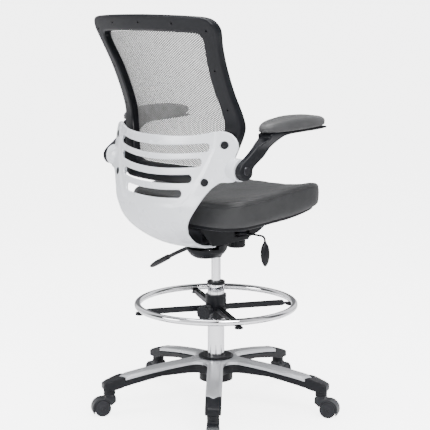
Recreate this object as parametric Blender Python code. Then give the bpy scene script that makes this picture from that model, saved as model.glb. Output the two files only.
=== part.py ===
"""Drafting chair: five-star caster base, foot ring, gas lift, tilting seat, mesh back, flip-up arms.

Lengths are metres. The chair faces -Y, its left side is +X and the floor is z = 0.
Shapes are worked out from the column's axis, and the empty chair_axis carries them
to their place, so that the whole chair stands centred over the origin.
"""
from math import cos, hypot, pi, radians, sin

import bmesh
import bpy
import numpy as np
from mathutils import Matrix, Vector
from mathutils.geometry import delaunay_2d_cdt

COLUMN_X = -0.0135
COLUMN_Y = 0.0182
GAP = 0.0003

# base and casters
LEG_COUNT = 5
LEG_ANGLES = [radians(61.6 + 72 * k) for k in range(LEG_COUNT)]
LEG_LENGTH = 0.347
LEG_HALF_WIDTH = 0.0225
LEG_ROOT_RADIUS = 0.040
COVER_LENGTH = 0.302
COVER_SKIRT = 0.012
COVER_WALL = 0.0035
COVER_PLAY = 0.0008
HUB_RADIUS = 0.050
HUB_BOTTOM = 0.083
CASTER_REACH = 0.327
CASTER_TRAIL = 0.023
WHEEL_RADIUS = 0.0245
HOOD_RADIUS = 0.0305
SOCKET_RADIUS = 0.0175
SOCKET_BOTTOM = 0.0635
SOCKET_TOP = 0.0925
STEM_RADIUS = 0.0055
AXLE_RADIUS = 0.0045

# column and foot ring
TUBE_RADIUS = 0.025
TUBE_TOP = 0.374
PISTON_RADIUS = 0.014
PISTON_TOP = 0.4780
RING_RADIUS = 0.2334
RING_TUBE = 0.0098
RING_HEIGHT = 0.3136
SPOKE_ANGLES = [radians(61 + 90 * k) for k in range(4)]
CLAMP_ANGLE = radians(106)
CLAMP_HEIGHT = 0.300

# mechanism
TILT_Y = -0.060
TILT_Z = 0.519
TENSION_Y = -0.086

# seat
SEAT_HALF_WIDTH = 0.235
SEAT_FRONT = -0.245
SEAT_REAR = 0.170
SEAT_PLAY = 0.0018

# back and arms
SHELL_WALL = 0.009
FRAME_DEPTH = 0.030
ARM_PIVOT = (0.0, 0.167, 0.753)
ARM_INNER = 0.2633
ARM_OUTER = 0.2835
PAD_OUT = 0.2786
PAD_MIDDLE = -0.0207
UPPER_BOLT = (0.219, 0.8255)
LOWER_BOLT = (0.1795, 0.7205)

for old in list(bpy.data.objects):
    bpy.data.objects.remove(old, do_unlink=True)

chair_axis = bpy.data.objects.new("chair_axis", None)
chair_axis.location = (COLUMN_X, COLUMN_Y, 0)
bpy.context.scene.collection.objects.link(chair_axis)


# ---------------------------------------------------------------- helpers

def ease(t):
    """Smooth step from 0 to 1."""
    t = min(max(t, 0.0), 1.0)
    return t * t * (3 - 2 * t)


def curve(pairs):
    """Piecewise linear function through (input, output) pairs sorted by input."""
    xs = [p[0] for p in pairs]
    ys = [p[1] for p in pairs]
    return lambda x: float(np.interp(x, xs, ys))


def circle(cx, cy, radius, count=32, start=0.0):
    """Points round a circle."""
    turn = 2 * pi / count
    return [(cx + radius * cos(start + k * turn), cy + radius * sin(start + k * turn))
            for k in range(count)]


def smooth(points, step, closed=False):
    """Catmull-Rom curve through points, resampled about every step."""
    pts = [np.array(p, float) for p in points]
    count = len(pts)
    fine = []
    for k in range(count if closed else count - 1):
        if closed:
            a, b, c, d = (pts[(k + j - 1) % count] for j in range(4))
        else:
            a, b, c, d = (pts[min(max(k + j - 1, 0), count - 1)] for j in range(4))
        for t in np.linspace(0, 1, 12, endpoint=False):
            fine.append(0.5 * (2 * b + (c - a) * t + (2 * a - 5 * b + 4 * c - d) * t * t
                               + (3 * b - a - 3 * c + d) * t ** 3))
    fine.append(pts[0] if closed else pts[-1])
    fine = np.array(fine)
    run = np.concatenate([[0], np.cumsum(np.linalg.norm(np.diff(fine, axis=0), axis=1))])
    pieces = max(2, int(round(run[-1] / step)))
    marks = np.linspace(0, run[-1], pieces + 1)
    out = np.stack([np.interp(marks, run, fine[:, j]) for j in range(fine.shape[1])], 1)
    if closed:
        out = out[:-1]
    return [tuple(p) for p in out]


def mirrored(half):
    """Loop made of a half outline, from one point on the middle line to the other, and its mirror."""
    return list(half) + [(-x, y) for x, y in reversed(half[1:-1])]


def inside(loop, point):
    """True when the point is within the loop."""
    x, y = point
    found = False
    for k in range(len(loop)):
        x0, y0 = loop[k]
        x1, y1 = loop[k - 1]
        if (y0 > y) != (y1 > y) and x < (x1 - x0) * (y - y0) / (y1 - y0) + x0:
            found = not found
    return found


def near(loop, points):
    """Distance of each point from the nearest side of the loop."""
    a = np.array(loop)
    b = np.roll(a, -1, axis=0)
    run = b - a
    size = np.maximum((run ** 2).sum(1), 1e-18)
    best = np.full(len(points), 1e9)
    for k in range(len(a)):
        t = np.clip(((points - a[k]) @ run[k]) / size[k], 0, 1)
        gap = np.linalg.norm(points - (a[k] + t[:, None] * run[k]), axis=1)
        best = np.minimum(best, gap)
    return best


def add(name, verts, faces, material, pivot=(0, 0, 0)):
    """Object with its origin at pivot, from vertices measured from the column's axis."""
    mesh = bpy.data.meshes.new(name)
    shift = Vector(pivot)
    mesh.from_pydata([Vector(v) - shift for v in verts], [], faces)
    work = bmesh.new()
    work.from_mesh(mesh)
    bmesh.ops.recalc_face_normals(work, faces=work.faces)
    work.to_mesh(mesh)
    work.free()
    obj = bpy.data.objects.new(name, mesh)
    obj.parent = chair_axis
    obj.location = shift
    bpy.context.scene.collection.objects.link(obj)
    own = bpy.data.materials.new(name)
    own.use_nodes = True
    shader = own.node_tree.nodes["Principled BSDF"]
    colour, metallic, roughness = material
    shader.inputs["Base Color"].default_value = (*colour, 1)
    shader.inputs["Metallic"].default_value = metallic
    shader.inputs["Roughness"].default_value = roughness
    mesh.materials.append(own)
    return obj


def plate(name, outline, top, bottom, material, holes=(), steps=(), grid=0.02,
          place=None, pivot=(0, 0, 0)):
    """Closed body between two height fields over an outline.

    Each step is (loop, top, bottom): inside that loop the given fields replace the
    outer ones, and None keeps the outer one. place turns (a, b, height) into a position.
    """
    loops = [outline] + list(holes) + [step[0] for step in steps]
    points = []
    edges = []
    for loop in loops:
        first = len(points)
        points += list(loop)
        edges += [(first + k, first + (k + 1) % len(loop)) for k in range(len(loop))]
    low = np.min(outline, axis=0)
    high = np.max(outline, axis=0)
    rows = []
    for j, y in enumerate(np.arange(low[1], high[1], grid * 0.87)):
        rows += [(x, y) for x in np.arange(low[0] + (j % 2) * grid / 2, high[0], grid)]
    inner = np.array(rows).reshape(-1, 2)
    for loop in loops:
        inner = inner[near(loop, inner) > 0.45 * grid]
    points += [tuple(p) for p in inner if inside(outline, p)]
    found = delaunay_2d_cdt([Vector(p) for p in points], edges, [], 0, 1e-7, False)
    flat = [(p.x, p.y) for p in found[0]]

    fields = {}
    cells = []
    for face in found[2]:
        mid = (sum(flat[v][0] for v in face) / 3, sum(flat[v][1] for v in face) / 3)
        if not inside(outline, mid) or any(inside(h, mid) for h in holes):
            continue
        up = top
        down = bottom
        for loop, new_top, new_bottom in steps:
            if inside(loop, mid):
                up = new_top or up
                down = new_bottom or down
        cells.append((face, up, down))

    verts = []
    lookup = {}
    levels = {}

    def height(v, field):
        key = (v, id(field))
        if key not in fields:
            fields[key] = round(float(field(*flat[v])), 7)
        return fields[key]

    def corner(v, z):
        if (v, z) not in lookup:
            lookup[v, z] = len(verts)
            x, y = flat[v]
            verts.append(place(x, y, z) if place else (x, y, z))
        return lookup[v, z]

    sides = {}
    faces = []
    for face, up, down in cells:
        for v in face:
            levels.setdefault(v, set()).update((height(v, up), height(v, down)))
        faces.append([corner(v, height(v, up)) for v in face])
        faces.append([corner(v, height(v, down)) for v in reversed(face)])
        for k in range(3):
            pair = (face[k], face[(k + 1) % 3])
            sides.setdefault(tuple(sorted(pair)), []).append((up, down))

    def wall(a, b, low_field, high_field):
        def climb(v):
            z0 = height(v, low_field)
            z1 = height(v, high_field)
            span = sorted(z for z in levels[v] if min(z0, z1) <= z <= max(z0, z1))
            return span if z0 <= z1 else span[::-1]
        ring = [corner(a, z) for z in climb(a)] + [corner(b, z) for z in reversed(climb(b))]
        ring = [v for k, v in enumerate(ring) if v != ring[k - 1]]
        if len(ring) > 2:
            faces.append(ring)

    for (a, b), owners in sides.items():
        if len(owners) == 1:
            wall(a, b, owners[0][1], owners[0][0])
        else:
            for side in (0, 1):
                if owners[0][side] is not owners[1][side]:
                    wall(a, b, owners[0][side], owners[1][side])
    return add(name, verts, faces, material, pivot)


def loft(name, rings, material, pivot=(0, 0, 0), closed=False):
    """Closed body through rings of points; closed joins the last ring to the first."""
    verts = [p for ring in rings for p in ring]
    count = len(rings[0])
    faces = []
    for k in range(len(rings) if closed else len(rings) - 1):
        here = k * count
        there = ((k + 1) % len(rings)) * count
        for j in range(count):
            n = (j + 1) % count
            faces.append([here + j, here + n, there + n, there + j])
    if not closed:
        faces.append(list(range(count)))
        faces.append([len(verts) - count + j for j in range(count)])
    return add(name, verts, faces, material, pivot)


def turned(name, profile, material, base=(0, 0, 0), axis=(0, 0, 1), segments=48, hollow=False):
    """Body of revolution about axis through base from (radius, height) pairs.

    hollow takes the profile as a closed section round the axis.
    """
    turn = Vector((0, 0, 1)).rotation_difference(Vector(axis)).to_matrix()
    rings = []
    for radius, height in profile:
        ring = [Vector(base) + turn @ Vector((x, y, height))
                for x, y in circle(0, 0, radius, segments)]
        rings.append(ring)
    return loft(name, rings, material, base, closed=hollow)


def sweep(name, path, sizes, material, pivot, flat_axis=(0, 1, 0), segments=16):
    """Body with an elliptical section along a path; sizes holds (half width, half depth)."""
    rings = []
    for k, point in enumerate(path):
        ahead = Vector(path[min(k + 1, len(path) - 1)]) - Vector(path[max(k - 1, 0)])
        ahead.normalize()
        side = Vector(flat_axis) - ahead * ahead.dot(Vector(flat_axis))
        side.normalize()
        other = ahead.cross(side)
        ring = [Vector(point) + side * (sizes[k][0] * x) + other * (sizes[k][1] * y)
                for x, y in circle(0, 0, 1, segments)]
        rings.append(ring)
    return loft(name, rings, material, pivot)


def cushion(name, outline, middle, layers, crown, material, pivot=(0, 0, 0)):
    """Upholstered body: rings of the outline drawn in by each layer, closed at the middle.

    layers holds (share of the way in, height) where height is a function of x and y.
    """
    rings = []
    for share, height in layers:
        ring = []
        for x, y in outline:
            px = x + (middle[0] - x) * share
            py = y + (middle[1] - y) * share
            ring.append((px, py, height(px, py)))
        rings.append(ring)
    verts = [p for ring in rings for p in ring]
    count = len(outline)
    faces = []
    for k in range(len(rings) - 1):
        for j in range(count):
            n = (j + 1) % count
            here = k * count
            faces.append([here + j, here + n, here + count + n, here + count + j])
    verts.append((middle[0], middle[1], layers[0][1](*middle)))
    verts.append((middle[0], middle[1], crown))
    last = (len(rings) - 1) * count
    for j in range(count):
        n = (j + 1) % count
        faces.append([n, j, len(verts) - 2])
        faces.append([last + j, last + n, len(verts) - 1])
    return add(name, verts, faces, material, pivot)


# -------------------------------------------------------------- materials

SILVER = ((0.62, 0.63, 0.64), 0.6, 0.35)
PEARL = ((0.80, 0.82, 0.85), 0.15, 0.30)
BLACK = ((0.020, 0.021, 0.025), 0.0, 0.42)
DARK_STEEL = ((0.05, 0.05, 0.055), 0.8, 0.40)
CHROME = ((0.80, 0.80, 0.82), 1.0, 0.08)
SEAT_VINYL = ((0.115, 0.116, 0.118), 0.0, 0.48)
ARM_VINYL = ((0.21, 0.21, 0.215), 0.0, 0.45)
MESH_CLOTH = ((0.50, 0.50, 0.49), 0.0, 0.75)

# ------------------------------------------------------------------- base

leg_bottom = curve([(0, 0.112), (0.09, 0.112), (0.173, 0.109), (0.21, 0.102), (0.267, 0.090),
                    (0.31, 0.0785), (0.36, 0.0760)])


def leg_top(r):
    """Height of the legs' upper face at distance r from the column."""
    beyond = max(r - 0.060, 0.0)
    nose = max(r - COVER_LENGTH, 0.0)
    return 0.152 - 0.090 * beyond - 0.27 * beyond ** 2 - 0.15 * nose


def star(length, half_width, tip, inset=0.0):
    """Outline of the five legs; tip is how far the end comes to a point."""
    half = half_width - inset
    bend = LEG_ROOT_RADIUS + inset
    reach = (half + bend) / sin(pi / LEG_COUNT)
    out = []
    for angle in LEG_ANGLES:
        along = Vector((cos(angle), sin(angle)))
        across = Vector((-sin(angle), cos(angle)))
        start = (half + bend) / sin(pi / LEG_COUNT) * cos(pi / LEG_COUNT)
        marks = np.linspace(start, length - inset - tip, 6)
        right = [along * r - across * half for r in marks]
        left = [along * r + across * half for r in marks[::-1]]
        end = [along * (length - inset)]
        if tip < 0.006:
            nose = length - inset
            end = [along * nose - across * (half - 0.006), along * nose + across * (half - 0.006)]
        out += right + end + left
        bisector = angle + pi / LEG_COUNT
        centre = Vector((cos(bisector), sin(bisector))) * reach
        sweep_half = pi / 2 - pi / LEG_COUNT
        for t in np.linspace(sweep_half, -sweep_half, 6)[1:-1]:
            turn = bisector + pi + t
            out.append(centre + Vector((cos(turn), sin(turn))) * bend)
    return [(p.x, p.y) for p in out]


def shoulder(x, y):
    """Underside of the cover's skirt."""
    return leg_top(hypot(x, y)) - COVER_SKIRT


sockets = []
for angle in LEG_ANGLES:
    sx = CASTER_REACH * cos(angle)
    sy = CASTER_REACH * sin(angle)
    sockets.append((circle(sx, sy, SOCKET_RADIUS, 12), None, lambda x, y: SOCKET_BOTTOM))
    sockets.append((circle(sx, sy, STEM_RADIUS + GAP, 12), None, lambda x, y: SOCKET_TOP))

rail_top = lambda x, y: leg_top(hypot(x, y)) - COVER_WALL - COVER_PLAY
hub_under = lambda x, y: HUB_BOTTOM
full_star = star(LEG_LENGTH, LEG_HALF_WIDTH, 0.005)
cover_bed = star(COVER_LENGTH + 0.0006, LEG_HALF_WIDTH + 0.0006, 0.020)
rail = star(COVER_LENGTH, LEG_HALF_WIDTH, 0.020, COVER_WALL + GAP)
plate("base_star", full_star,
      lambda x, y: leg_top(hypot(x, y)), lambda x, y: leg_bottom(hypot(x, y)), BLACK,
      holes=[circle(0, 0, TUBE_RADIUS + GAP, 28)],
      steps=[(cover_bed, lambda x, y: shoulder(x, y) - COVER_PLAY, None), (rail, rail_top, None),
             (circle(0, 0, HUB_RADIUS, 28), None, hub_under)] + sockets,
      grid=0.045)
plate("base_cover", star(COVER_LENGTH, LEG_HALF_WIDTH + 0.0003, 0.020),
      lambda x, y: leg_top(hypot(x, y)), shoulder, SILVER,
      holes=[circle(0, 0, TUBE_RADIUS + GAP, 28)],
      steps=[(star(COVER_LENGTH, LEG_HALF_WIDTH, 0.020, COVER_WALL),
              None, lambda x, y: leg_top(hypot(x, y)) - COVER_WALL)],
      grid=0.045)
turned("hub_collar", [(TUBE_RADIUS + GAP, 0), (0.0525, 0), (0.0525, 0.004), (0.048, 0.0065),
                      (TUBE_RADIUS + GAP, 0.0065)], BLACK, (0, 0, 0.152 + GAP), segments=28, hollow=True)

for k, angle in enumerate(LEG_ANGLES):
    number = k + 1
    stem = Vector((CASTER_REACH * cos(angle), CASTER_REACH * sin(angle), 0))
    axle = Vector((CASTER_REACH + CASTER_TRAIL, 0, WHEEL_RADIUS))
    turn = Matrix.Rotation(angle, 3, "Z")

    def stand(a, b, n, turn=turn):
        """Place a side view (distance from the column, height) with n across the caster."""
        return turn @ Vector((a, n, b))

    hood = []
    for t in np.linspace(-30, 152, 14):
        hood.append((axle.x + HOOD_RADIUS * cos(radians(t)), axle.z + HOOD_RADIUS * sin(radians(t))))
    top = SOCKET_BOTTOM - 0.0006
    hood = [p for p in hood if p[1] < top]
    right = [p for p in hood if p[0] > axle.x]
    block = [(axle.x + 0.001, top), (CASTER_REACH - 0.0155, top), (CASTER_REACH - 0.0165, 0.042)]
    web = circle(axle.x, axle.z, 0.018, 16)
    under = [p for p in web if p[1] < axle.z + 0.006 and not (p[0] > axle.x and p[1] > 0.015)]
    under.sort(key=lambda p: p[0])
    body = right + block + under
    cup = circle(axle.x, axle.z, WHEEL_RADIUS + 0.0015, 24)
    thick = lambda a, b: 0.0175
    thin = lambda a, b: 0.0050
    stub = lambda a, b: 0.0160
    low = lambda a, b: -0.0175
    low_thin = lambda a, b: -0.0050
    low_stub = lambda a, b: -0.0160
    plate(f"caster_{number}_body", body, thick, low, BLACK,
          steps=[(cup, thin, low_thin), (circle(axle.x, axle.z, AXLE_RADIUS, 16), stub, low_stub)],
          grid=0.05, place=stand, pivot=(stem.x, stem.y, 0.06))
    turned(f"caster_{number}_stem", [(STEM_RADIUS, 0), (STEM_RADIUS, 0.026), (0.004, 0.0285)],
           DARK_STEEL, (stem.x, stem.y, SOCKET_BOTTOM - 0.0002), segments=12)
    for side, sign in (("left", 1), ("right", -1)):
        centre = turn @ Vector((axle.x, sign * 0.0055, axle.z))
        outward = turn @ Vector((0, sign, 0))
        bore = AXLE_RADIUS + 0.00008
        wheel = [(bore, 0.0002), (0.0220, 0.0002), (WHEEL_RADIUS, 0.0022), (WHEEL_RADIUS, 0.0105),
                 (0.0225, 0.0131), (bore, 0.0131)]
        turned(f"caster_{number}_wheel_{side}", wheel, BLACK, centre, outward, 20, hollow=True)

# ----------------------------------------------------------- column, ring

turned("column_tube", [(0.0005, 0.099), (TUBE_RADIUS - 0.001, 0.099), (TUBE_RADIUS, 0.100),
                       (TUBE_RADIUS, TUBE_TOP), (0.0215, TUBE_TOP), (0.0215, 0.103),
                       (0.0005, 0.103)], CHROME, segments=32, hollow=True)
turned("column_bushing", [(PISTON_RADIUS + GAP, 0.345), (0.0212, 0.345), (0.0212, TUBE_TOP + GAP),
                          (0.0268, TUBE_TOP + GAP), (0.0272, 0.3820), (0.0255, 0.3838),
                          (PISTON_RADIUS + GAP, 0.3838)], BLACK, segments=24, hollow=True)
turned("gas_piston", [(0.0125, 0.172), (PISTON_RADIUS, 0.174), (PISTON_RADIUS, PISTON_TOP - 0.003),
                      (0.0128, PISTON_TOP)], CHROME, segments=24)

ring = []
for k in range(48):
    t = 2 * pi * k / 48
    ring.append([((RING_RADIUS + RING_TUBE * cos(s)) * cos(t),
                  (RING_RADIUS + RING_TUBE * cos(s)) * sin(t), RING_HEIGHT + RING_TUBE * sin(s))
                 for s in np.linspace(0, 2 * pi, 10, endpoint=False)])
loft("foot_ring", ring, CHROME, (0, 0, RING_HEIGHT), closed=True)

spider = []
for angle in SPOKE_ANGLES:
    along = Vector((cos(angle), sin(angle)))
    across = Vector((-sin(angle), cos(angle)))
    for r, h in ((0.0310, -0.011), (0.10, -0.0095), (0.19, -0.0085), (0.241, -0.008),
                 (0.244, -0.005), (0.244, 0.005), (0.241, 0.008), (0.19, 0.0085), (0.10, 0.0095),
                 (0.0310, 0.011)):
        spider.append(tuple(along * r + across * h))
    for t in np.linspace(radians(30), radians(60), 4):
        spider.append((hypot(0.031, 0.011) * cos(angle + t), hypot(0.031, 0.011) * sin(angle + t)))
plate("foot_ring_spider", spider, lambda x, y: 0.3034, lambda x, y: 0.2982, BLACK,
      holes=[circle(0, 0, TUBE_RADIUS + 0.0005, 32)],
      steps=[(circle(0, 0, 0.2110, 72), lambda x, y: 0.3100, lambda x, y: 0.2955),
             (circle(0, 0, 0.0309, 28), lambda x, y: 0.3440, lambda x, y: 0.2720)], grid=0.08)
for k, angle in enumerate(SPOKE_ANGLES):
    turned(f"ring_screw_{k + 1}", [(0.0105, 0), (0.0125, 0.0012), (0.0125, 0.0042)], BLACK,
           (RING_RADIUS * cos(angle), RING_RADIUS * sin(angle), 0.2937), segments=16)
grip = []
for z, r in ((0.0, 0.0150), (0.003, 0.0215), (0.006, 0.0228), (0.026, 0.0228), (0.030, 0.0205),
             (0.031, 0.0150)):
    grip.append((r, z))
clamp_out = Vector((cos(CLAMP_ANGLE), sin(CLAMP_ANGLE), 0))
turned("clamp_knob", [(0.0060, -0.0170), (0.0060, -0.0002)] + grip, BLACK,
       clamp_out * 0.0500 + Vector((0, 0, CLAMP_HEIGHT)), clamp_out, 24)

# -------------------------------------------------------------- mechanism


def upright(y, z, x):
    """Place a side view (y, z) with the thickness across the chair."""
    return (x, y, z)


housing = [(-0.105, 0.508), (-0.100, 0.4995), (-0.018, 0.4995), (-0.010, 0.4785), (0.028, 0.4785),
           (0.034, 0.486), (0.036, 0.500), (0.030, 0.518), (-0.040, 0.534), (-0.090, 0.534),
           (-0.104, 0.524)]
lower_housing = [(-0.030, 0.470), (0.050, 0.470), (0.050, 0.4992), (-0.030, 0.4992)]
plate("mechanism_housing", housing, lambda y, z: 0.040, lambda y, z: -0.040, DARK_STEEL,
      holes=[circle(TILT_Y, TILT_Z, 0.0066, 16)],
      steps=[(lower_housing, lambda y, z: 0.022, lambda y, z: -0.022)], grid=0.03, place=upright,
      pivot=(0, 0, 0.47))
turned("tilt_axle", [(0.0062, -0.0477), (0.0062, 0.0477)], DARK_STEEL,
       (0, TILT_Y, TILT_Z), (1, 0, 0), 16)
turned("cone_socket", [(PISTON_RADIUS + GAP, 0.4555), (0.0165, 0.4555), (0.0180, 0.4590),
                       (0.0180, 0.4782), (PISTON_RADIUS + GAP, 0.4782)], BLACK,
       segments=20, hollow=True)
turned("tension_knob", [(0.0150, 0.4735), (0.0255, 0.4745), (0.0276, 0.4775), (0.0276, 0.4945),
                        (0.0260, 0.4965), (0.0060, 0.4966), (0.0060, 0.4992)], BLACK,
       (0, TENSION_Y, 0), segments=24)
bracket = [(-0.0535, -0.130), (0.0535, -0.130), (0.0535, 0.099), (-0.0535, 0.099)]
cheeks = []
for low_x, high_x in ((-0.0535, -0.048), (0.048, 0.0535)):
    cheeks.append(([(low_x, -0.085), (high_x, -0.085), (high_x, -0.042), (low_x, -0.042)],
                   None, lambda x, y: 0.5080))
foot = ([(-0.040, 0.056), (0.040, 0.056), (0.040, 0.096), (-0.040, 0.096)],
        None, lambda x, y: 0.5105)
plate("seat_bracket", bracket, lambda x, y: 0.5525, lambda x, y: 0.5485, DARK_STEEL,
      steps=cheeks + [foot], grid=0.05)


def bowl(x, y):
    """Underside of the cover below the mechanism."""
    return 0.458 + 0.030 * hypot(x / 0.056, (y - 0.0365) / 0.0665) ** 4


def bowl_rim(x, y):
    """Upper edge of that cover, lower where the shell's tail lies on it."""
    return 0.4985 if y < 0.040 else 0.4890


cover_line = smooth([(0, -0.026), (0.020, -0.0245), (0.037, -0.010), (0.048, 0.013),
                     (0.051, 0.040), (0.047, 0.070), (0.034, 0.090), (0, 0.099)], 0.012)
cover_inside = [(x * 0.94, 0.0365 + (y - 0.0365) * 0.95) for x, y in mirrored(cover_line)]
lever_gap = [(0.026, -0.022), (0.056, -0.022), (0.056, 0.007), (0.026, 0.007)]
plate("mechanism_cover", mirrored(cover_line), bowl_rim, bowl, BLACK,
      holes=[circle(0, 0.008, 0.0300, 28)],
      steps=[(cover_inside, lambda x, y: bowl(x, y) + 0.003, None),
             (lever_gap, lambda x, y: bowl(x, y) + 0.003, None)], grid=0.014)

lever_path = [(-0.0406, -0.028, 0.5240), (-0.046, -0.028, 0.5240), (-0.062, -0.028, 0.5300),
              (-0.085, -0.028, 0.5345), (-0.150, -0.028, 0.5350), (-0.163, -0.028, 0.5340),
              (-0.1695, -0.028, 0.5290), (-0.1710, -0.028, 0.5220), (-0.1712, -0.028, 0.5160),
              (-0.1715, -0.028, 0.505), (-0.172, -0.028, 0.492), (-0.1725, -0.028, 0.478),
              (-0.173, -0.028, 0.463), (-0.1732, -0.028, 0.453), (-0.1733, -0.028, 0.4465)]
lever_size = [(0.003, 0.003)] * 7 + [(0.0035, 0.0035), (0.0070, 0.0055), (0.0128, 0.0082),
              (0.0165, 0.0094), (0.0165, 0.0094), (0.0132, 0.0078), (0.0078, 0.0052),
              (0.0030, 0.0024)]
sweep("height_lever", lever_path, lever_size, BLACK, (-0.0406, -0.028, 0.524), segments=10)
lock_path = [(0.0406, -0.007, 0.4955), (0.050, -0.0075, 0.4925), (0.0625, -0.009, 0.4850),
             (0.085, -0.012, 0.4775), (0.115, -0.016, 0.4690), (0.155, -0.020, 0.4545),
             (0.200, -0.020, 0.4340), (0.226, -0.021, 0.4215), (0.230, -0.021, 0.4195),
             (0.238, -0.0215, 0.4160), (0.256, -0.023, 0.4070), (0.280, -0.025, 0.3955),
             (0.300, -0.027, 0.3850), (0.317, -0.028, 0.3755)]
lock_size = [(0.0045, 0.0045)] * 3 + [(0.0052, 0.0048), (0.0068, 0.0054)]
lock_size += [(0.0085, 0.0060)] * 3
lock_size += [(0.0105, 0.0082), (0.0125, 0.0084), (0.0140, 0.0084), (0.0130, 0.0074),
              (0.0100, 0.0056), (0.0035, 0.0022)]
sweep("lock_lever", lock_path, lock_size, BLACK, (0.0406, -0.007, 0.4955), segments=10)

# ------------------------------------------------------------------- seat

SEAT_MIDDLE = (0.0, -0.035)
seat_half = smooth([(0, SEAT_FRONT), (0.080, SEAT_FRONT + 0.002), (0.150, SEAT_FRONT + 0.010),
                    (0.203, SEAT_FRONT + 0.024), (0.229, SEAT_FRONT + 0.056),
                    (SEAT_HALF_WIDTH, -0.110), (SEAT_HALF_WIDTH, -0.020), (0.232, 0.080),
                    (0.218, 0.128), (0.180, 0.158), (0.110, 0.168), (0, SEAT_REAR)], 0.027)
seat_line = mirrored(seat_half)
base_rise = curve([(-0.245, 0.6200), (-0.200, 0.6145), (-0.165, 0.6095), (-0.118, 0.6015),
                   (-0.067, 0.5958), (0.000, 0.5915), (0.044, 0.5880), (0.100, 0.5840),
                   (0.155, 0.5808), (0.170, 0.5800)])
side_rise = curve([(-0.245, 0.6730), (-0.200, 0.6840), (-0.160, 0.6880), (-0.118, 0.6860),
                   (-0.060, 0.6795), (0.044, 0.6670), (0.155, 0.6580), (0.170, 0.6570)])
middle_rise = curve([(-0.245, 0.6520), (-0.200, 0.6600), (-0.150, 0.6610), (-0.080, 0.6560),
                     (0.000, 0.6500), (0.100, 0.6480), (0.170, 0.6520)])


def seat_base(x, y):
    """Height of the cushion's underside, which rises towards the front edge."""
    return base_rise(y)


def seat_top(x, y):
    """Height of the sitting surface, dished between its raised sides."""
    across = min(abs(x) / SEAT_HALF_WIDTH, 1.0)
    return middle_rise(y) + (side_rise(y) - middle_rise(y)) * across ** 2.2


cushion("seat_cushion", seat_line, SEAT_MIDDLE,
        [(0.700, seat_base), (0.400, seat_base), (0.200, seat_base), (0.055, seat_base),
         (0.020, lambda x, y: seat_base(x, y) + 0.002),
         (0.004, lambda x, y: seat_base(x, y) + 0.012),
         (0.000, lambda x, y: seat_base(x, y) + 0.030),
         (0.006, lambda x, y: seat_top(x, y) - 0.022),
         (0.022, lambda x, y: seat_top(x, y) - 0.009),
         (0.050, lambda x, y: seat_top(x, y) - 0.002),
         (0.110, seat_top), (0.260, seat_top), (0.480, seat_top), (0.740, seat_top)],
        0.6525, SEAT_VINYL, (0, -0.035, 0.6))


def pan_under(x, y):
    """Underside of the seat pan."""
    return seat_base(x, y) - 0.0115


def pan_upper(x, y):
    """Upper face of the seat pan, flush with the cushion's underside."""
    return seat_base(x, y) - SEAT_PLAY


pan_line = [(x * 0.935, SEAT_MIDDLE[1] + (y - SEAT_MIDDLE[1]) * 0.935) for x, y in seat_line]


def box_line(half, front, rear):
    """Rectangle with points along its sides, so that a slope beside it stays even."""
    ys = np.linspace(front, rear, 10)
    return [(half, y) for y in ys] + [(-half, y) for y in reversed(ys)]


spacer = box_line(0.0520, -0.128, 0.097)
hollow = box_line(0.0480, -0.124, 0.093)
plate("seat_pan", pan_line, pan_upper, pan_under, BLACK,
      steps=[(spacer, None, lambda x, y: 0.5530), (hollow, lambda x, y: 0.5570, None)], grid=0.03)

skirt_drop = curve([(-0.172, 0.5560), (-0.166, 0.5497), (-0.117, 0.5236), (-0.061, 0.5080),
                    (0.020, 0.5025), (0.075, 0.5050), (0.083, 0.5110), (0.118, 0.5600)])
skirt_half = [(0, -0.172), (0.044, -0.170), (0.0575, -0.160), (0.0625, -0.140), (0.0625, -0.117),
              (0.0625, -0.090), (0.0625, -0.061), (0.0625, -0.020), (0.0625, 0.020),
              (0.0625, 0.050), (0.0625, 0.075), (0.0620, 0.083), (0.0600, 0.100),
              (0.0540, 0.112), (0.042, 0.1175), (0, 0.118)]
skirt_line = mirrored(skirt_half)
skirt_inside = [(x * 0.945, -0.027 + (y + 0.027) * 0.976) for x, y in skirt_line]
window = [(-0.066, -0.078), (0.066, -0.078), (0.066, -0.014), (-0.066, -0.014)]
plate("mechanism_skirt", skirt_line, lambda x, y: pan_under(x, y) - 0.0015, lambda x, y: skirt_drop(y), BLACK,
      holes=[skirt_inside], steps=[(window, lambda x, y: 0.5185, None)], grid=0.05,
      pivot=(0, 0, 0.53))

# ------------------------------------------------------------ back shell

spine = smooth([(0.2500, 0.866), (0.2560, 0.800), (0.2605, 0.740), (0.2660, 0.675),
                (0.2670, 0.625), (0.2610, 0.592), (0.2440, 0.563), (0.2150, 0.5365),
                (0.1780, 0.5180), (0.1400, 0.5070), (0.1000, 0.4985), (0.0450, 0.4925),
                (0.0300, 0.4920)], 0.004)
spine_y = np.array([p[0] for p in spine])
spine_z = np.array([p[1] for p in spine])
spine_run = np.concatenate([[0], np.cumsum(np.hypot(np.diff(spine_y), np.diff(spine_z)))])
bend_radius = curve([(0.00, 0.350), (0.05, 0.360), (0.15, 0.430), (0.19, 0.500), (0.22, 0.600),
                     (0.26, 0.600), (0.29, 0.500), (0.32, 0.420), (0.35, 0.360), (0.45, 0.400)])


def run_at(z):
    """Distance down the spine where it passes height z on the upright part."""
    upright_part = spine_z > 0.53
    return float(np.interp(-z, -spine_z[upright_part], spine_run[upright_part]))


def run_at_y(y):
    """Distance down the spine where it passes y on the lower part."""
    lower = spine_run > run_at(0.56)
    return float(np.interp(-y, -spine_y[lower], spine_run[lower]))


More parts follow.
